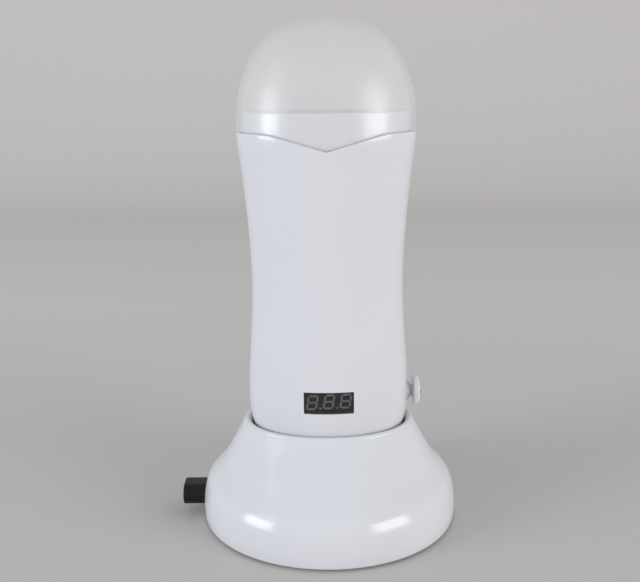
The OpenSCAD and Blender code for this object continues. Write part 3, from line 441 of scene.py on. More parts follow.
base = {
    "radius": 61, "rimZ": 50, "lip": 2.8, "wall": 2.4, "floorZ": 21.7, "bowlGap": 1.1, "bowlWall": 2.0,
    "bottomZ": 1.2, "roundZ": 24, "around": 288, "contactHole": (14.5, 6.5),
    "seatZ": 22.9, "seats": (9.5, 10), "seatRadius": 2.5, "seatRound": 0.4,
    "postCircle": 47.5, "postAngles": (70, 110, 250, 290), "postRadius": 4, "postTop": 26, "pilot": 1.2,
    "plateTop": 3.7, "screwCircle": 47.48, "screwZ": 2.6,
    "flareFoot": (7.2, 25.2), "flareBend": (14.2, 36), "flareOut": 0.2,
    "shoulderIn": 10.6, "shoulderWide": 11, "shoulderZ": 5, "shoulderTall": 20, "shoulderExponent": 2.6,
}
inlet = {
    "width": 14.3, "height": 8.3, "wall": 0.9, "z": 10.5, "mouthX": -71.3, "mouthRound": 0.45, "depth": 12.0, "fit": 0.15,
    "flangeX": -56.0, "flangeT": 2.0, "flangeW": 26.3, "screwY": 10.75, "padX": -59, "padRadius": 3, "pilot": 1.1,
}
rimHalf = halfWidth(base["rimZ"]) + base["bowlGap"] + base["lip"]
rimDepth = halfWidth(base["rimZ"]) * hand["depthRatio"] + base["bowlGap"] + base["lip"]
lipRadius = base["lip"] / 2
flare = [np.array((base["radius"] - inward, z)) for inward, z in (base["flareFoot"], base["flareBend"])]
flare.append(np.array((rimHalf + base["flareOut"], base["rimZ"] - lipRadius)))


def flarePoint(t):
    return flare[0] * (1 - t) ** 2 + flare[1] * 2 * t * (1 - t) + flare[2] * t * t


def flareHalf(z):
    low, high = 0.0, 1.0
    for _ in range(30):
        middle = (low + high) / 2
        low, high = (middle, high) if flarePoint(middle)[1] < z else (low, middle)
    return flarePoint(low)[0]


def shoulderPoint(f):
    f, power = math.radians(f), 2 / base["shoulderExponent"]
    return np.array((base["radius"] - base["shoulderIn"] + base["shoulderWide"] * math.cos(f) ** power,
                     base["shoulderZ"] + base["shoulderTall"] * math.sin(f) ** power))


def skin(a, z):
    # half width, half depth, height and exponent: round below, oval at the rim
    t = min(1.0, max(0.0, (z - base["roundZ"]) / (base["rimZ"] - base["roundZ"])))
    share = t * t * (3 - 2 * t)
    return a, a - (rimHalf - rimDepth) * share, z, 2 + 0.1 * share


def bowl(z, out):
    a = halfWidth(z)
    return a + out, a * hand["depthRatio"] + out, z, hand["exponent"]


def baseSection():
    # from the foot up the outside, over the lip, down the bowl to the contact hole and back along the hollow
    radius, foot, floor, lipZ = base["radius"], base["bottomZ"], base["floorZ"], base["rimZ"] - lipRadius
    curve = [shoulderPoint(f) for f in np.linspace(3, 60, 26)] + [flarePoint(t) for t in np.linspace(0.1, 1, 30)]
    for _ in range(5):  # the hollow between shoulder and flare is eased over a few millimetres
        eased = [0.25 * p + 0.5 * q + 0.25 * r for p, q, r in zip(curve, curve[1:], curve[2:])]
        curve = [curve[0]] + eased + [curve[-1]]
    outside = [skin(radius - 0.8, foot), skin(radius - 0.1, foot + 0.3), skin(radius + 0.2, foot + 1.1)]
    outside += [skin(*p) for p in curve]
    lip = []
    for f in np.radians(np.linspace(8, 172, 15)):
        rise, out = lipRadius * math.sin(f), lipRadius * (math.cos(f) - 1)
        lip.append((rimHalf + out, rimDepth + out, lipZ + rise, hand["exponent"]))
    inside = [bowl(z, base["bowlGap"]) for z in np.linspace(lipZ, floor + 1.5, 22)]
    inside += [bowl(floor + 0.4, base["bowlGap"] - 0.3), bowl(floor, base["bowlGap"] - 1.3)]
    under, top = floor - base["bowlWall"], base["rimZ"] - 6.4
    holeA, holeB = base["contactHole"]
    hole = [(holeA + 0.3, holeB + 0.3, floor), (holeA, holeB, floor - 0.3), (holeA, holeB, under)]
    hole = [point + (hand["exponent"],) for point in hole]
    hollow = [bowl(under + 0.4, base["bowlGap"])]
    hollow += [bowl(z, base["bowlGap"] + base["bowlWall"]) for z in np.linspace(floor + 2, top, 10)]
    hollow += [skin(flareHalf(z) - base["wall"], z) for z in np.linspace(top, 27, 8)]
    hollow += [skin(x - base["wall"], z - 0.6) for x, z in (shoulderPoint(f) for f in np.linspace(58, 16, 8))]
    return outside + lip + inside + hole + hollow + [skin(radius - base["wall"], foot)]


def stadium(width, height, out=0.0, steps=24):
    # points round a block with half-round ends, u across and v up
    r, flat = height / 2 + out, (width - height) / 2
    right = [(flat + u, v) for u, v in arc(0, 0, r, -90, 90, steps)]
    return right + [(u - flat, v) for u, v in arc(0, 0, r, 90, 270, steps)]


def inletLoop(x, out):
    return [(x, u, inlet["z"] + v) for u, v in stadium(inlet["width"], inlet["height"], out)]


sectionPoints = baseSection()
sectionPoints.append(sectionPoints[0])
baseShell = pointSet("baseShell", [p[:3] for p in sectionPoints], exponent=[p[3] for p in sectionPoints])
grow(baseShell, ovalLoft, Rings=len(sectionPoints), Around=base["around"], Material=finishes["abs"])
hole = [inletLoop(x, inlet["wall"] + inlet["fit"]) for x in (-base["radius"] - 5, 6 - base["radius"])]
cutAway(baseShell, loft("inletHole", hole, capped=True))
seatFoot, seatTop, seatRound = base["floorZ"] - 1, base["seatZ"], base["seatRound"]
seatProfile = [(0, seatFoot), (base["seatRadius"], seatFoot)]
seatProfile += arc(base["seatRadius"] - seatRound, seatTop - seatRound, seatRound, 0, 85, 4) + [(0, seatTop)]
seatX, seatY = base["seats"]
seats = [turned("seatPad", seatProfile, at=(x, y, 0), around=48) for x in (-seatX, seatX) for y in (-seatY, seatY)]


def tube(bore, radius, start, end):
    return [(bore, start), (radius, start), (radius, end), (bore, end)]


postProfile = tube(base["pilot"], base["postRadius"], base["plateTop"], base["postTop"])
posts = []
for angle in np.radians(base["postAngles"]):
    place = (base["postCircle"] * math.cos(angle), base["postCircle"] * math.sin(angle), 0)
    posts.append(turned("screwPost", postProfile, at=place, around=48))
padProfile = tube(inlet["pilot"], inlet["padRadius"], inlet["padX"], inlet["flangeX"])
pads = [turned("inletPad", padProfile, "x", (0, y, inlet["z"]), 40) for y in (-inlet["screwY"], inlet["screwY"])]
setInPlace(join([baseShell] + seats + posts + pads), "abs", "base", "gloss_white", "base_shell")


def shroudRings():
    # from the flange along the outside, round the mouth's edge and down the blind hole
    wall, mouth, edge = inlet["wall"], inlet["mouthX"], inlet["mouthRound"]
    back, end = inlet["flangeX"] + inlet["flangeT"], mouth + inlet["depth"]
    rings = [inletLoop(back, 0.0), inletLoop(back, wall)]
    rings += [inletLoop(x, wall) for x in np.linspace(inlet["flangeX"], mouth + edge, 7)]
    for f in np.radians(np.linspace(15, 165, 8)):
        rings.append(inletLoop(mouth + edge - edge * math.sin(f), wall / 2 + wall / 2 * math.cos(f)))
    return rings + [inletLoop(mouth + 0.5, 0.0), inletLoop(end - 0.4, 0.0), inletLoop(end, -0.4)]


def roundedLoop(halfWide, halfTall, radius, steps=5):
    # corners of a rounded rectangle, u across and v up
    loop = []
    for u, v, start in ((1, 1, 0), (-1, 1, 90), (-1, -1, 180), (1, -1, 270)):
        loop += arc(u * (halfWide - radius), v * (halfTall - radius), radius, start, start + 90, steps)
    return loop


flangeLoop = roundedLoop(inlet["flangeW"] / 2, inlet["height"] / 2 + inlet["wall"], 1.0)
flangeEnds = (inlet["flangeX"], inlet["flangeX"] + inlet["flangeT"])
flange = loft("inletFlange", [[(x, u, inlet["z"] + v) for u, v in flangeLoop] for x in flangeEnds], capped=True)
shroud = loft("inletShroud", shroudRings(), capped=True)
setInPlace(join([shroud, flange]), "nylon", "base", "black_plastic", "inlet_housing")


def shellAngles(start, steps):
    # half a turn, with close columns beside the parting line so that its edge can be rounded
    depth = faceDepth(0, 100)
    near = [math.asin((s / depth) ** (hand["exponent"] / 2)) for s in (0.0, 0.04, 0.12, 0.22, 0.34, 0.6, 1.2)]
    middle = list(np.linspace(near[-1], math.pi - near[-1], steps)[1:-1])
    return [start + a for a in near + middle + [math.pi - a for a in reversed(near)]]


def shellSection(angle):
    # up the outside, over the rim under the lid and down the inside
    top, wall, r = seamHeight(angle), hand["wall"], hand["partingRadius"]
    away = faceDepth(0, 100) * abs(math.sin(angle)) ** (2 / hand["exponent"])
    inset = r - math.sqrt(max(0.0, r * r - (r - away) ** 2)) if away < r else 0.0
    rim, low = hand["rimRadius"], hand["capZ"] + hand["capGap"]
    outside = [handPoint(angle, z, inset) for z in np.linspace(low, top - rim, 110)]
    for f in np.radians((22, 45, 68, 90)):
        x, y, _ = handPoint(angle, top, inset + rim * (1 - math.cos(f)))
        outside.append((x, y, top - rim + rim * math.sin(f)))
    inside = [handPoint(angle, top, wall - 0.3), handPoint(angle, top - 0.3, wall)]
    return outside + inside + [handPoint(angle, z, wall) for z in np.linspace(top - 1, low, 30)]


display = {
    "width": 22.5, "height": 10, "z": 65.8, "sink": 0.3, "thick": 1.6, "gap": 0.15, "cornerRadius": 0.4,
    "digitHeight": 7.0, "digitWidth": 4.05, "bar": 0.85, "longest": 3.6, "upright": 0.82, "pointOut": 1.4,
    "lean": 11, "tilt": 2.4, "shift": 0.1,
}
dial = {
    "z": 62, "seatX": halfWidth(62), "boss": 1.2, "gap": 1.6, "diameter": 15, "thick": 3.8, "crown": 1.4,
    "bossBore": 3.65, "bossRadius": 5.4, "hubRadius": 3.25, "neckIn": 0.65, "edge": 0.8, "dotOut": 2.6, "dot": 1.8,
}
bossEnd = dial["seatX"] + dial["boss"]
discX = bossEnd + dial["gap"]


def bossProfile():
    # a small turned boss that flares into the shell's side
    x, bore, radius = dial["seatX"], dial["bossBore"], dial["bossRadius"]
    root = [(bore, x - 2.2), (radius + 0.3, x - 2.2), (radius, x - 0.5)]
    for f in np.radians(np.linspace(12, 90, 8)):
        root.append((radius - 1.2 * math.sin(f), x - 0.5 + 1.0 * (1 - math.cos(f))))
    return root + [(4.15, bossEnd - 0.25), (3.95, bossEnd), (3.85, bossEnd), (bore, bossEnd - 0.2)]


cap = {
    "wall": 2.2, "edge": 1.5, "chamfer": 0.35, "around": 200, "screwY": 9.5, "seatZ": 27.4, "wellRadius": 3,
    "bossRadius": 3.8, "pilot": 1.6, "studX": 9.0, "studRadius": 1.8, "studBoss": 3.5, "studTall": 3,
    "posts": (16, 7), "postRadius": 2, "postEdge": 0.3, "boardZ": 44,
}
inner = {
    "tabHalf": 5.0, "tabFrom": 5.5, "tabThick": 3.0, "tabHole": 1.2, "overlap": 0.3,
    "shelfZ": 76.8, "shelfThick": 2.0, "shelfHole": (44, 26), "middleGap": 0.3,
}


def innerRibs(side):
    # a tab for the cap's screw and a shelf under the sleeve; both run a little into the wall
    z, half, start = hand["capZ"] + hand["capGap"], inner["tabHalf"], inner["tabFrom"]
    reach = faceDepth(0, hand["capZ"], hand["wall"]) + inner["overlap"]
    corners = [(-half, start), (half, start), (half, reach), (-half, reach)]
    tab = loft("screwTab", [[(x, side * y, h) for x, y in corners] for h in (z, z + inner["tabThick"])], capped=True)
    hole = [(0, z - 2), (inner["tabHole"], z - 2), (inner["tabHole"], z + 6), (0, z + 6)]
    cutAway(tab, turned("pilotHole", hole, at=(0, side * cap["screwY"], 0), around=40))
    angles, gap = np.linspace(0.02, math.pi - 0.02, 80), inner["middleGap"]
    outer = [handPoint(a, inner["shelfZ"], hand["wall"] - inner["overlap"])[:2] for a in angles]
    opening = sorted(((u, v) for u, v in stadium(*inner["shelfHole"]) if v > 0.5), key=lambda q: q[0])
    loop = [(outer[0][0], gap)] + outer + [(outer[-1][0], gap), (opening[0][0], gap)] + opening + [(opening[-1][0], gap)]
    levels = (inner["shelfZ"], inner["shelfZ"] + inner["shelfThick"])
    shelf = loft("sleeveShelf", [[(x, side * y, h) for x, y in loop] for h in levels], capped=True)
    return [tab, shelf]


frontShell = loft("handFrontShell", [shellSection(a) for a in shellAngles(math.pi, 110)], capped=True)
openingHalf = (display["width"] / 2 + display["gap"], display["height"] / 2 + display["gap"])
opening = roundedLoop(*openingHalf, display["cornerRadius"], 4)
windowHole = [[(x, y, display["z"] + z) for x, z in opening] for y in (-18, -45)]
cutAway(frontShell, loft("windowHole", windowHole, capped=True))
boss = turned("knobBoss", bossProfile(), "x", (0, 0, dial["z"]), 96)
setInPlace(join([frontShell, boss] + innerRibs(-1)), "abs", "hand_unit", "gloss_white", "front_shell")
rearShell = loft("handRearShell", [shellSection(a) for a in shellAngles(0.0, 110)], capped=True)
setInPlace(join([rearShell] + innerRibs(1)), "abs", "hand_unit", "gloss_white", "rear_shell")

capAngles = np.linspace(0, 2 * math.pi, cap["around"], endpoint=False)


def capRings():
    # round the bottom's edge, up the side, over the rim and down inside
    low, top, edge, wall, chamfer = hand["bottomZ"], hand["capZ"], cap["edge"], cap["wall"], cap["chamfer"]
    rings = []
    for f in np.radians((90, 80, 60, 40, 20)):
        inset, height = edge * (1 - math.cos(f)), low + edge - edge * math.sin(f)
        rings.append([handPoint(a, low + edge, inset)[:2] + (height,) for a in capAngles])
    levels = [(z, 0.0) for z in np.linspace(low + edge, top - chamfer, 14)] + [(top - 0.1, 0.1), (top, chamfer)]
    levels += [(z, wall) for z in np.linspace(top, low + wall + 0.4, 8)]
    return rings + [[handPoint(a, z, inset) for a in capAngles] for z, inset in levels]


bottomCap = loft("bottomCap", capRings(), [(0, 0, hand["bottomZ"]), (0, 0, hand["bottomZ"] + cap["wall"])])
screwWell = [(0, 20), (cap["wellRadius"], 20), (cap["wellRadius"], cap["seatZ"]), (0, cap["seatZ"])]
studHole = [(0, 20), (cap["studRadius"], 20), (cap["studRadius"], 30), (0, 30)]
for side in (-1, 1):
    cutAway(bottomCap, turned("screwWell", screwWell, at=(0, side * cap["screwY"], 0), around=48))
    cutAway(bottomCap, turned("studHole", studHole, at=(side * cap["studX"], 0, 0), around=48))
capFloor = hand["bottomZ"] + cap["wall"] - 0.1
screwBoss = [(cap["wellRadius"], capFloor), (cap["bossRadius"], capFloor), (cap["bossRadius"], hand["capZ"])]
screwBoss += [(cap["pilot"], hand["capZ"]), (cap["pilot"], cap["seatZ"]), (cap["wellRadius"], cap["seatZ"])]
studBoss = tube(cap["studRadius"], cap["studBoss"], capFloor, capFloor + cap["studTall"])
boardPost = [(0, capFloor), (cap["postRadius"], capFloor), (cap["postRadius"], cap["boardZ"] - cap["postEdge"])]
boardPost += [(cap["postRadius"] - cap["postEdge"], cap["boardZ"]), (0, cap["boardZ"])]
bosses = []
for side in (-1, 1):
    bosses.append(turned("screwBoss", screwBoss, at=(0, side * cap["screwY"], 0), around=48))
    bosses.append(turned("studBoss", studBoss, at=(side * cap["studX"], 0, 0), around=48))
    for along in (-1, 1):
        place = (side * cap["posts"][0], along * cap["posts"][1], 0)
        bosses.append(turned("boardPost", boardPost, at=place, around=40))
setInPlace(join([bottomCap] + bosses), "abs", "hand_unit", "gloss_white", "bottom_cap")

lidShape = {"gap": 0.3, "wall": 2.2, "edge": 0.55, "sideRise": 2, "around": 240}
lidAngles = np.linspace(0, 2 * math.pi, lidShape["around"], endpoint=False)


def lidSide(inset):
    # from the edge, which follows the seam, up past the seam's height and over the dome
    rings = []
    for s in np.linspace(0, 1, 9):
        ring = []
        for angle in lidAngles:
            low = seamHeight(angle) + lidShape["gap"] + lidShape["edge"]
            ring.append(handPoint(angle, low + (hand["seamZ"] + lidShape["sideRise"] - low) * s, inset))
        rings.append(ring)
    a, b, power = hand["mouthHalf"] - inset, hand["mouthHalf"] * hand["depthRatio"] - inset, 2 / hand["domeExponent"]
    for f in np.radians(np.concatenate([np.linspace(8, 70, 34), np.linspace(72, 88.5, 14)])):
        out = math.cos(f) ** power
        z = hand["seamZ"] + (hand["domeHeight"] - inset) * math.sin(f) ** power
        rings.append([oval(a * out, b * out, hand["exponent"], angle) + (z,) for angle in lidAngles])
    return rings


def lidEdge():
    # the rounded lower edge, from the outside in
    rings = []
    for f in np.radians(np.linspace(67.5, -67.5, 7)):
        inset, drop = lidShape["wall"] / 2 * (1 - math.sin(f)), lidShape["edge"] * (1 - math.cos(f))
        rings.append([handPoint(angle, seamHeight(angle) + lidShape["gap"] + drop, inset) for angle in lidAngles])
    return rings


domeTop = hand["seamZ"] + hand["domeHeight"]
lidRings = lidSide(0.0)[::-1] + lidEdge() + lidSide(lidShape["wall"])
lid = loft("lidDome", lidRings, [(0, 0, domeTop), (0, 0, domeTop - lidShape["wall"])])
setInPlace(lid, "lid", "lid", "clear_plastic", "lid")

collar = {
    "rise": 9, "wall": 2.0, "lowZ": 172, "deckDrop": 8, "deck": 2.4, "well": (54, 36), "lidGap": 0.6, "shellGap": 0.15,
    "edge": 0.8, "fillet": 0.9, "grooveTo": 1.35, "skirtTo": 2.75, "skirt": 4, "around": 240,
}
collarAngles = np.linspace(0, 2 * math.pi, collar["around"], endpoint=False)


def collarPoint(angle, z, inset):
    if z < hand["seamZ"]:
        inShell = halfWidth(z) - hand["wall"] - collar["shellGap"]
        a = min(inShell, hand["mouthHalf"] - lidShape["wall"] - collar["lidGap"])
    else:
        a = domeHalf(z, lidShape["wall"]) - collar["lidGap"]
    return oval(a - inset, a - inset - hand["mouthHalf"] * (1 - hand["depthRatio"]), hand["exponent"], angle) + (z,)


def wellPoint(angle, width, depth):
    # where a line at this angle from the middle meets a block with half-round ends
    r, flat, c, s = depth / 2, (width - depth) / 2, math.cos(angle), math.sin(angle)
    if abs(s) > 1e-9 and abs(c / s) * r <= flat:
        return c / abs(s) * r, math.copysign(r, s)
    along = flat * abs(c)
    reach = along + math.sqrt(max(0.0, along * along - flat * flat + r * r))
    return reach * c, reach * s


def collarRings():
    # up the outside, over the rim, down to the deck, into the well and back under the deck
    top, wall, edge, fillet = hand["seamZ"] + collar["rise"], collar["wall"], collar["edge"], collar["fillet"]
    deck = top - collar["deckDrop"]
    rings = []

    def ring(z, inset):
        rings.append([collarPoint(a, z, inset) for a in collarAngles])

    def well(z, out):
        width, depth = collar["well"]
        rings.append([wellPoint(a, width + 2 * out, depth + 2 * out) + (z,) for a in collarAngles])

    for z in np.linspace(collar["lowZ"], top - edge, 22):
        ring(z, 0.0)
    for f in np.radians(np.linspace(0, 180, 9)[1:-1]):
        x, height = wall / 2 * (1 - math.cos(f)), top - edge + edge * math.sin(f)
        rings.append([collarPoint(a, top - edge, x)[:2] + (height,) for a in collarAngles])
    for z in np.linspace(top - edge, deck + fillet, 5):
        ring(z, wall)
    for f in np.radians((20, 40, 60, 80)):
        ring(deck + fillet - fillet * math.sin(f), wall + fillet - fillet * math.cos(f))
    ring(deck, wall + fillet + 0.2)
    for f in np.radians(np.linspace(90, 0, 6)):
        well(deck - edge + edge * math.sin(f), edge - edge * math.cos(f))
    under = deck - collar["deck"]
    well(under, 0.0)
    well(under - 0.02, collar["grooveTo"])
    well(under - collar["skirt"], collar["grooveTo"])
    well(under - collar["skirt"], collar["skirtTo"])
    well(under - 0.4, collar["skirtTo"])
    ring(under, wall + 0.4)
    ring(under - 0.5, wall)
    ring(collar["lowZ"], wall)
    return rings


setInPlace(loft("wellCollar", collarRings()), "abs", "hand_unit", "gloss_white", "collar")

faceRadius = ((dial["diameter"] / 2) ** 2 + dial["crown"] ** 2) / (2 * dial["crown"])
faceX = discX + dial["thick"]


def knobFace(r):
    return faceX - faceRadius + math.sqrt(faceRadius ** 2 - r * r)


def knobProfile():
    # hub, back of the disc, rounded edge and domed face
    r, hub, edge = dial["diameter"] / 2, dial["hubRadius"], dial["edge"]
    points = [(0, bossEnd + 0.1), (hub - 0.25, bossEnd + 0.1), (hub, bossEnd + 0.3)]
    for f in np.radians(np.linspace(0, 80, 6)):
        points.append((hub - dial["neckIn"] * math.sin(f), discX - 0.15 - 1.0 * math.cos(f)))
    points += [(hub - 0.25, discX - 0.05), (r - 1.0, discX)] + arc(r - edge, discX + edge, edge, -75, 0, 7)
    points += [(r, knobFace(r) - 0.5)] + arc(r - 0.5, knobFace(r) - 0.45, 0.5, 15, 75, 4)
    return points + [(x, knobFace(x)) for x in np.linspace(r - 0.6, 0.4, 22)] + [(0, faceX)]


knob = turned("temperatureKnob", knobProfile(), "x", (0, 0, dial["z"]), 128)
setInPlace(knob, "abs", "knob", "gloss_white", "knob")
dotX, dotHalf = knobFace(dial["dotOut"]), dial["dot"] / 2
dotProfile = [(0, dotX - 0.7), (dotHalf, dotX - 0.7), (dotHalf, dotX + 0.02), (dotHalf - 0.15, dotX + 0.1), (0, dotX + 0.12)]
dot = turned("knobDot", dotProfile, "x", (0, -dial["dotOut"], dial["z"]), 40)
setInPlace(dot, "epoxy", "knob", "black_plastic", "knob_marker")


def paneRings():
    # back, side and front of the pane, which follows the shell's curve
    halfWide, halfTall, sink, middle = display["width"] / 2, display["height"] / 2, display["sink"], display["z"]
    back = sink + display["thick"]
    xs, zs = np.linspace(-1, 1, 33), np.linspace(-1, 1, 13)
    rim = [(x, -1) for x in xs] + [(1, z) for z in zs[1:]] + [(x, 1) for x in xs[-2::-1]] + [(-1, z) for z in zs[-2:0:-1]]
    layers = [(back, s) for s in (0.3, 0.6, 1.0)] + [(sink + 0.12, 1.0), (sink + 0.03, 0.992)]
    layers += [(sink, s) for s in (0.985, 0.6, 0.3)]
    rings = []
    for inset, s in layers:
        loop = [(x * s * halfWide, middle + z * s * halfTall) for x, z in rim]
        rings.append([(x, -faceDepth(x, z, inset), z) for x, z in loop])
    return rings, [(0, -faceDepth(0, middle, inset), middle) for inset in (back, sink)]


setInPlace(loft("displayPane", *paneRings()), "window", "hand_unit", "smoked_plastic", "display_window")

# segmentRow sets a six-sided bar on every point that holds a length, and a round point where it holds none
segmentRow, given = newTree("segmentRow", Bar=("Float", 0.00085), Longest=("Float", 0.0033), Raise=("Float", 0.00006),
                            Dot=("Float", 0.0005), Material=("Material", None))
segmentNode, segmentMath = partial(addNode, segmentRow), partial(calculate, segmentRow)
hexagon = segmentNode("GeometryNodeMeshCylinder", {"Vertices": 6, "Radius": 1.0, "Depth": 1.0}).outputs[0]
place = segmentNode("GeometryNodeInputPosition").outputs[0]
corner = segmentNode("ShaderNodeSeparateXYZ", {0: place}).outputs
tip = segmentMath("SUBTRACT", 1.0, segmentMath("ABSOLUTE", corner[0]))
tip = segmentMath("MULTIPLY", tip, given["Bar"])
along = segmentMath("SUBTRACT", segmentMath("MULTIPLY", given["Longest"], 0.5), tip)
along = segmentMath("MULTIPLY", along, segmentMath("SIGN", corner[0]))
hexagonSpan = 0.5774  # tan 30: a bar's width for each unit of the hexagon's height
high = segmentMath("MULTIPLY", corner[1], segmentMath("MULTIPLY", given["Bar"], hexagonSpan))
deep = segmentMath("MULTIPLY", corner[2], given["Raise"])
moved = segmentNode("ShaderNodeCombineXYZ", {0: along, 1: deep, 2: high}).outputs[0]
barShape = segmentNode("GeometryNodeSetPosition", {"Geometry": hexagon, "Position": moved}).outputs[0]
disc = {"Vertices": 24, "Radius": given["Dot"], "Depth": given["Raise"]}
dotShape = segmentNode("GeometryNodeMeshCylinder", disc).outputs[0]
dotShape = segmentNode("GeometryNodeTransform", {"Geometry": dotShape, "Rotation": (math.pi / 2, 0.0, 0.0)}).outputs[0]
lengthShare = readValue(segmentRow, "length")
spin = segmentMath("MULTIPLY", readValue(segmentRow, "turn"), -1.0)
spin = segmentNode("ShaderNodeCombineXYZ", {1: spin}).outputs[0]
isBar = segmentMath("GREATER_THAN", lengthShare, 0.1)
points = segmentNode("GeometryNodeMeshToPoints", {"Mesh": given["Geometry"]}).outputs[0]
scaleBar = segmentNode("ShaderNodeCombineXYZ", {0: lengthShare, 1: 1.0, 2: 1.0}).outputs[0]
bars = {"Points": points, "Selection": isBar, "Instance": barShape, "Rotation": spin, "Scale": scaleBar}
bars = segmentNode("GeometryNodeInstanceOnPoints", bars).outputs[0]
dots = {"Points": points, "Selection": segmentMath("SUBTRACT", 1.0, isBar), "Instance": dotShape}
dots = segmentNode("GeometryNodeInstanceOnPoints", dots).outputs[0]
both = segmentNode("GeometryNodeJoinGeometry", {"Geometry": bars})
segmentRow.links.new(dots, both.inputs["Geometry"])
endTree(segmentRow, both.outputs[0], given["Material"])


def segmentPlaces():
    # three leaning digits of seven bars, with a point after the first two, in a row that is turned a little
    places, turns, lengths = [], [], []
    tall, wide, lean = display["digitHeight"] - display["bar"], display["digitWidth"], math.radians(display["lean"])
    tilt = math.radians(display["tilt"])
    for digit in (-1, 0, 1):
        middle = digit * display["width"] / 3 + display["shift"]
        row = [(middle + v * math.tan(lean) * tall / 2, v * tall / 2, 0.0, 1.0) for v in (-1, 0, 1)]
        for v in (-0.5, 0.5):
            centre = middle + v * math.tan(lean) * tall / 2
            for side in (-1, 1):
                row.append((centre + side * wide / 2, v * tall / 2, math.pi / 2 - lean, display["upright"]))
        if digit < 1:
            row.append((middle + wide / 2 + display["pointOut"], -tall / 2, 0.0, 0.0))
        for x, z, turn, length in row:
            places.append((x * math.cos(tilt) - z * math.sin(tilt), x * math.sin(tilt) + z * math.cos(tilt)))
            turns.append(turn + tilt)
            lengths.append(length)
    return places, turns, lengths


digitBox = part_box("display_digits")
places, turns, lengths = segmentPlaces()
digitY = (digitBox[0].y + digitBox[1].y) * 500
segmentPoints = [(x, digitY, display["z"] + z) for x, z in places]
digits = pointSet("displaySegments", segmentPoints, turn=turns, length=lengths)
grow(digits, segmentRow, Bar=display["bar"] * 0.001, Longest=display["longest"] * 0.001,
     Raise=digitBox[1].y - digitBox[0].y, Material=finishes["segment"])
setInPlace(digits, "segment", "hand_unit", "segment_grey", "display_digits")

# panScrew sets one self-tapping screw on every point: a pan head with a cross recess, and a shank with a real thread
panScrew, given = newTree(
    "panScrew", HeadRadius=("Float", 0.0028), HeadHeight=("Float", 0.002), HeadRound=("Float", 0.26),
    ShankRadius=("Float", 0.00119), Length=("Float", 0.01), Root=("Float", 0.0003), Pitch=("Float", 0.00106),
    Thread=("Float", 0.0003), Blunt=("Float", 0.15), Slot=("Float", 0.0008), Turn=("Vector", None),
    Rings=("Int", 90), Around=("Int", 20), Material=("Material", None))
screwNode, screwMath = partial(addNode, panScrew), partial(calculate, panScrew)
sheet, ring, lap = unrolled(panScrew, given)
last = screwMath("SUBTRACT", given["Rings"], 1.0)
# height along the shank, which starts inside the head
whole = screwMath("ADD", given["Length"], given["Root"])
high = screwMath("SUBTRACT", screwMath("MULTIPLY", screwMath("DIVIDE", ring, last), whole), given["Root"])
# the thread climbs one pitch a turn: a saw-tooth folded into a ridge
wave = screwMath("FRACT", screwMath("SUBTRACT", screwMath("DIVIDE", high, given["Pitch"]), lap))
wave = screwMath("ABSOLUTE", screwMath("SUBTRACT", screwMath("MULTIPLY", wave, 2.0), 1.0))
# the blunt point
left, wide = screwMath("SUBTRACT", given["Length"], high), screwMath("MULTIPLY", given["ShankRadius"], 2.0)
point = screwMath("MINIMUM", screwMath("ADD", screwMath("DIVIDE", left, wide), given["Blunt"]), 1.0)
# the first and last ring shrink onto the axis, so that both ends are closed
afterFirst = screwMath("GREATER_THAN", ring, 0.5)
beforeLast = screwMath("LESS_THAN", ring, screwMath("SUBTRACT", last, 0.5))
closed = screwMath("MULTIPLY", afterFirst, beforeLast)
reach = screwMath("SUBTRACT", given["ShankRadius"], screwMath("MULTIPLY", wave, given["Thread"]))
reach = screwMath("MULTIPLY", reach, screwMath("MULTIPLY", point, closed))
turn = screwMath("MULTIPLY", lap, 2 * math.pi)
across = [screwMath("MULTIPLY", reach, screwMath(wave, turn)) for wave in ("COSINE", "SINE")]
target = screwNode("ShaderNodeCombineXYZ", {0: across[0], 1: across[1], 2: high}).outputs[0]
shank = screwNode("GeometryNodeSetPosition", {"Geometry": sheet, "Position": target}).outputs[0]
shank = screwNode("GeometryNodeMergeByDistance", {"Geometry": shank, "Distance": 1e-6}).outputs[0]
shank = screwNode("GeometryNodeFlipFaces", {"Mesh": shank}).outputs[0]
# the head: a cylinder drawn in towards its top
blank = {"Vertices": 40, "Side Segments": 6, "Radius": given["HeadRadius"], "Depth": given["HeadHeight"]}
blank = screwNode("GeometryNodeMeshCylinder", blank).outputs[0]
place = screwNode("GeometryNodeInputPosition").outputs[0]
corner = screwNode("ShaderNodeSeparateXYZ", {0: place}).outputs
drop = screwMath("SUBTRACT", 0.5, screwMath("DIVIDE", corner[2], given["HeadHeight"]))
steep = screwMath("POWER", screwMath("MAXIMUM", drop, 0.0), 4.0)
pull = screwMath("SUBTRACT", 1.0, screwMath("MULTIPLY", steep, given["HeadRound"]))
below = screwMath("MULTIPLY", given["HeadHeight"], -1.0)
formed = [screwMath("MULTIPLY", corner[0], pull), screwMath("MULTIPLY", corner[1], pull), screwMath("MULTIPLY", drop, below)]
formed = screwNode("ShaderNodeCombineXYZ", dict(enumerate(formed))).outputs[0]
head = screwNode("GeometryNodeSetPosition", {"Geometry": blank, "Position": formed}).outputs[0]
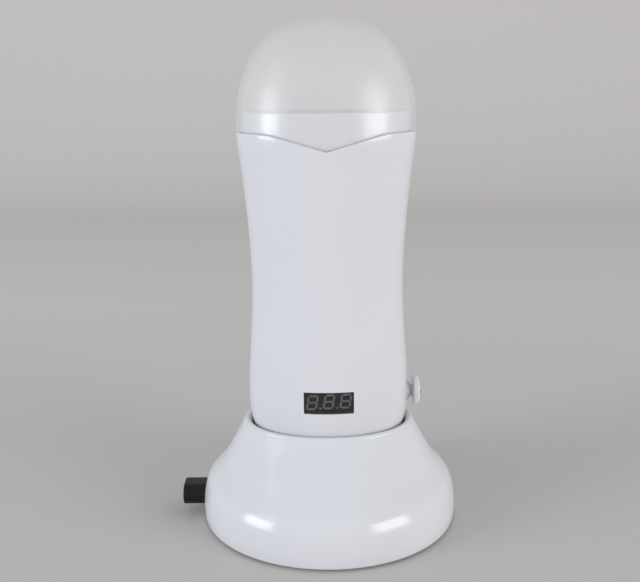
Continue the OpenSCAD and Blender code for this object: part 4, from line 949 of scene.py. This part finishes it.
# the cross recess: two blades cut from the head, a little longer than its radius
recess = screwNode("GeometryNodeMeshBoolean", {"Mesh 1": head}, operation="DIFFERENCE", solver="EXACT")
arm = screwMath("MULTIPLY", given["HeadRadius"], 1.1)
bottom = screwNode("ShaderNodeCombineXYZ", {2: below}).outputs[0]
for wide, deep in ((arm, given["Slot"]), (given["Slot"], arm)):
    size = screwNode("ShaderNodeCombineXYZ", {0: wide, 1: deep, 2: given["HeadHeight"]}).outputs[0]
    blade = screwNode("GeometryNodeMeshCube", {"Size": size}).outputs[0]
    blade = screwNode("GeometryNodeTransform", {"Geometry": blade, "Translation": bottom}).outputs[0]
    panScrew.links.new(blade, recess.inputs["Mesh 2"])
screw = screwNode("GeometryNodeJoinGeometry", {"Geometry": recess.outputs[0]})
panScrew.links.new(shank, screw.inputs["Geometry"])
points = screwNode("GeometryNodeMeshToPoints", {"Mesh": given["Geometry"]}).outputs[0]
copies = {"Points": points, "Instance": screw.outputs[0], "Rotation": given["Turn"]}
endTree(panScrew, screwNode("GeometryNodeInstanceOnPoints", copies).outputs[0], given["Material"])

screwAngles, screwCircle = np.radians(base["postAngles"]), base["screwCircle"]
flangeBack = inlet["flangeX"] + inlet["flangeT"]
ringsPerMm = 9
# head and shank are (radius, length) in millimetres
screwSets = {
    "baseScrews": dict(
        node="base_screws", body="base", head=(2.8, 1.0), shank=(1.19, 10.0), turn=(0.0, 0.0, 0.0),
        points=[(screwCircle * math.cos(a), screwCircle * math.sin(a), base["screwZ"]) for a in screwAngles]),
    "capScrews": dict(
        node="cap_screws", body="hand_unit", head=(2.8, 2.0), shank=(1.19, 9.6), turn=(0.0, 0.0, 0.4),
        points=[(0, y, cap["seatZ"]) for y in (-cap["screwY"], cap["screwY"])]),
    "inletScrews": dict(
        node="inlet_screws", body="base", head=(2.2, 1.4), shank=(1.09, 4.8), turn=(0.0, -math.pi / 2, 0.0),
        points=[(flangeBack, y, inlet["z"]) for y in (-inlet["screwY"], inlet["screwY"])]),
}
for name, kind in screwSets.items():
    screws = pointSet(name, kind["points"])
    (headRadius, headHeight), (shankRadius, length) = kind["head"], kind["shank"]
    grow(screws, panScrew, HeadRadius=headRadius * 0.001, HeadHeight=headHeight * 0.001,
         ShankRadius=shankRadius * 0.001, Length=length * 0.001,
         Turn=kind["turn"], Rings=int(length * ringsPerMm), Material=finishes["zinc"])
    setInPlace(screws, "zinc", kind["body"], "screw_steel", kind["node"])

# a seamless paper roll, in metres: floor, bend and wall
roll = {"halfWidth": 0.95, "front": -0.75, "back": 1.5, "bend": 0.5, "height": 2.2}
line = [(roll["front"], 0.0), (0.0, 0.0)] + arc(roll["back"] - roll["bend"], roll["bend"], roll["bend"], -90, 0, 14)
line.append((roll["back"], roll["height"]))
edges = [(x, y, z) for y, z in line for x in (-roll["halfWidth"], roll["halfWidth"])]
strips = [(2 * i, 2 * i + 1, 2 * i + 3, 2 * i + 2) for i in range(len(line) - 1)]
mesh = bpy.data.meshes.new("paperRoll")
mesh.from_pydata(edges, [], strips)
mesh.polygons.foreach_set("use_smooth", [True] * len(mesh.polygons))
mesh.materials.append(finishes["paper"])
paper = bpy.data.objects.new("paperRoll", mesh)
scene.collection.objects.link(paper)

view = {"x": -0.0035, "y": -0.420, "z": 0.211, "down": 13.33, "roll": 0.6, "focalPixels": 916, "imageWidth": 640}
camera = bpy.data.objects.new("camera", bpy.data.cameras.new("camera"))
camera.data.sensor_width = 36
camera.data.lens = view["focalPixels"] / view["imageWidth"] * 36
camera.data.clip_start, camera.data.clip_end = 0.02, 20
aim = Matrix.Rotation(math.radians(90 - view["down"]), 4, "X") @ Matrix.Rotation(math.radians(-view["roll"]), 4, "Z")
camera.matrix_world = Matrix.Translation((view["x"], view["y"], view["z"])) @ aim
scene.collection.objects.link(camera)
scene.camera = camera

# soft boxes, in metres and degrees: azimuth from the front, and the height of their middle
lamps = {
    "leftBox": dict(azimuth=-64, distance=1.5, width=0.7, height=0.62, middle=0.32, watts=9.9, colour="#F6F8FF"),
    "leftWindow": dict(azimuth=-64, distance=1.5, width=0.7, height=0.88, middle=1.1, watts=2.4, colour="#F6F8FF"),
    "rightBox": dict(azimuth=54, distance=1.5, width=0.88, height=0.7, middle=0.36, watts=10.8, colour="#FFFFFF"),
}
for name, lamp in lamps.items():
    light = bpy.data.lights.new(name, "AREA")
    light.shape, light.size, light.size_y, light.energy = "RECTANGLE", lamp["width"], lamp["height"], lamp["watts"]
    light.color = linear(lamp["colour"])[:3]
    holder = bpy.data.objects.new(name, light)
    side = math.radians(lamp["azimuth"])
    away = Vector((math.sin(side), -math.cos(side), 0))
    holder.location = away * lamp["distance"] + Vector((0, 0, lamp["middle"]))
    holder.rotation_euler = away.to_track_quat("Z", "Y").to_euler()
    holder.visible_camera = False
    scene.collection.objects.link(holder)

studio = {"colour": "#E8EAEE", "strength": 0.64}
world = bpy.data.worlds.new("studio")
world.use_nodes = True
world.node_tree.nodes["Background"].inputs["Color"].default_value = linear(studio["colour"])
world.node_tree.nodes["Background"].inputs["Strength"].default_value = studio["strength"]
scene.world = world
scene.view_settings.view_transform = "Standard"
print("paper, camera and lamps set")
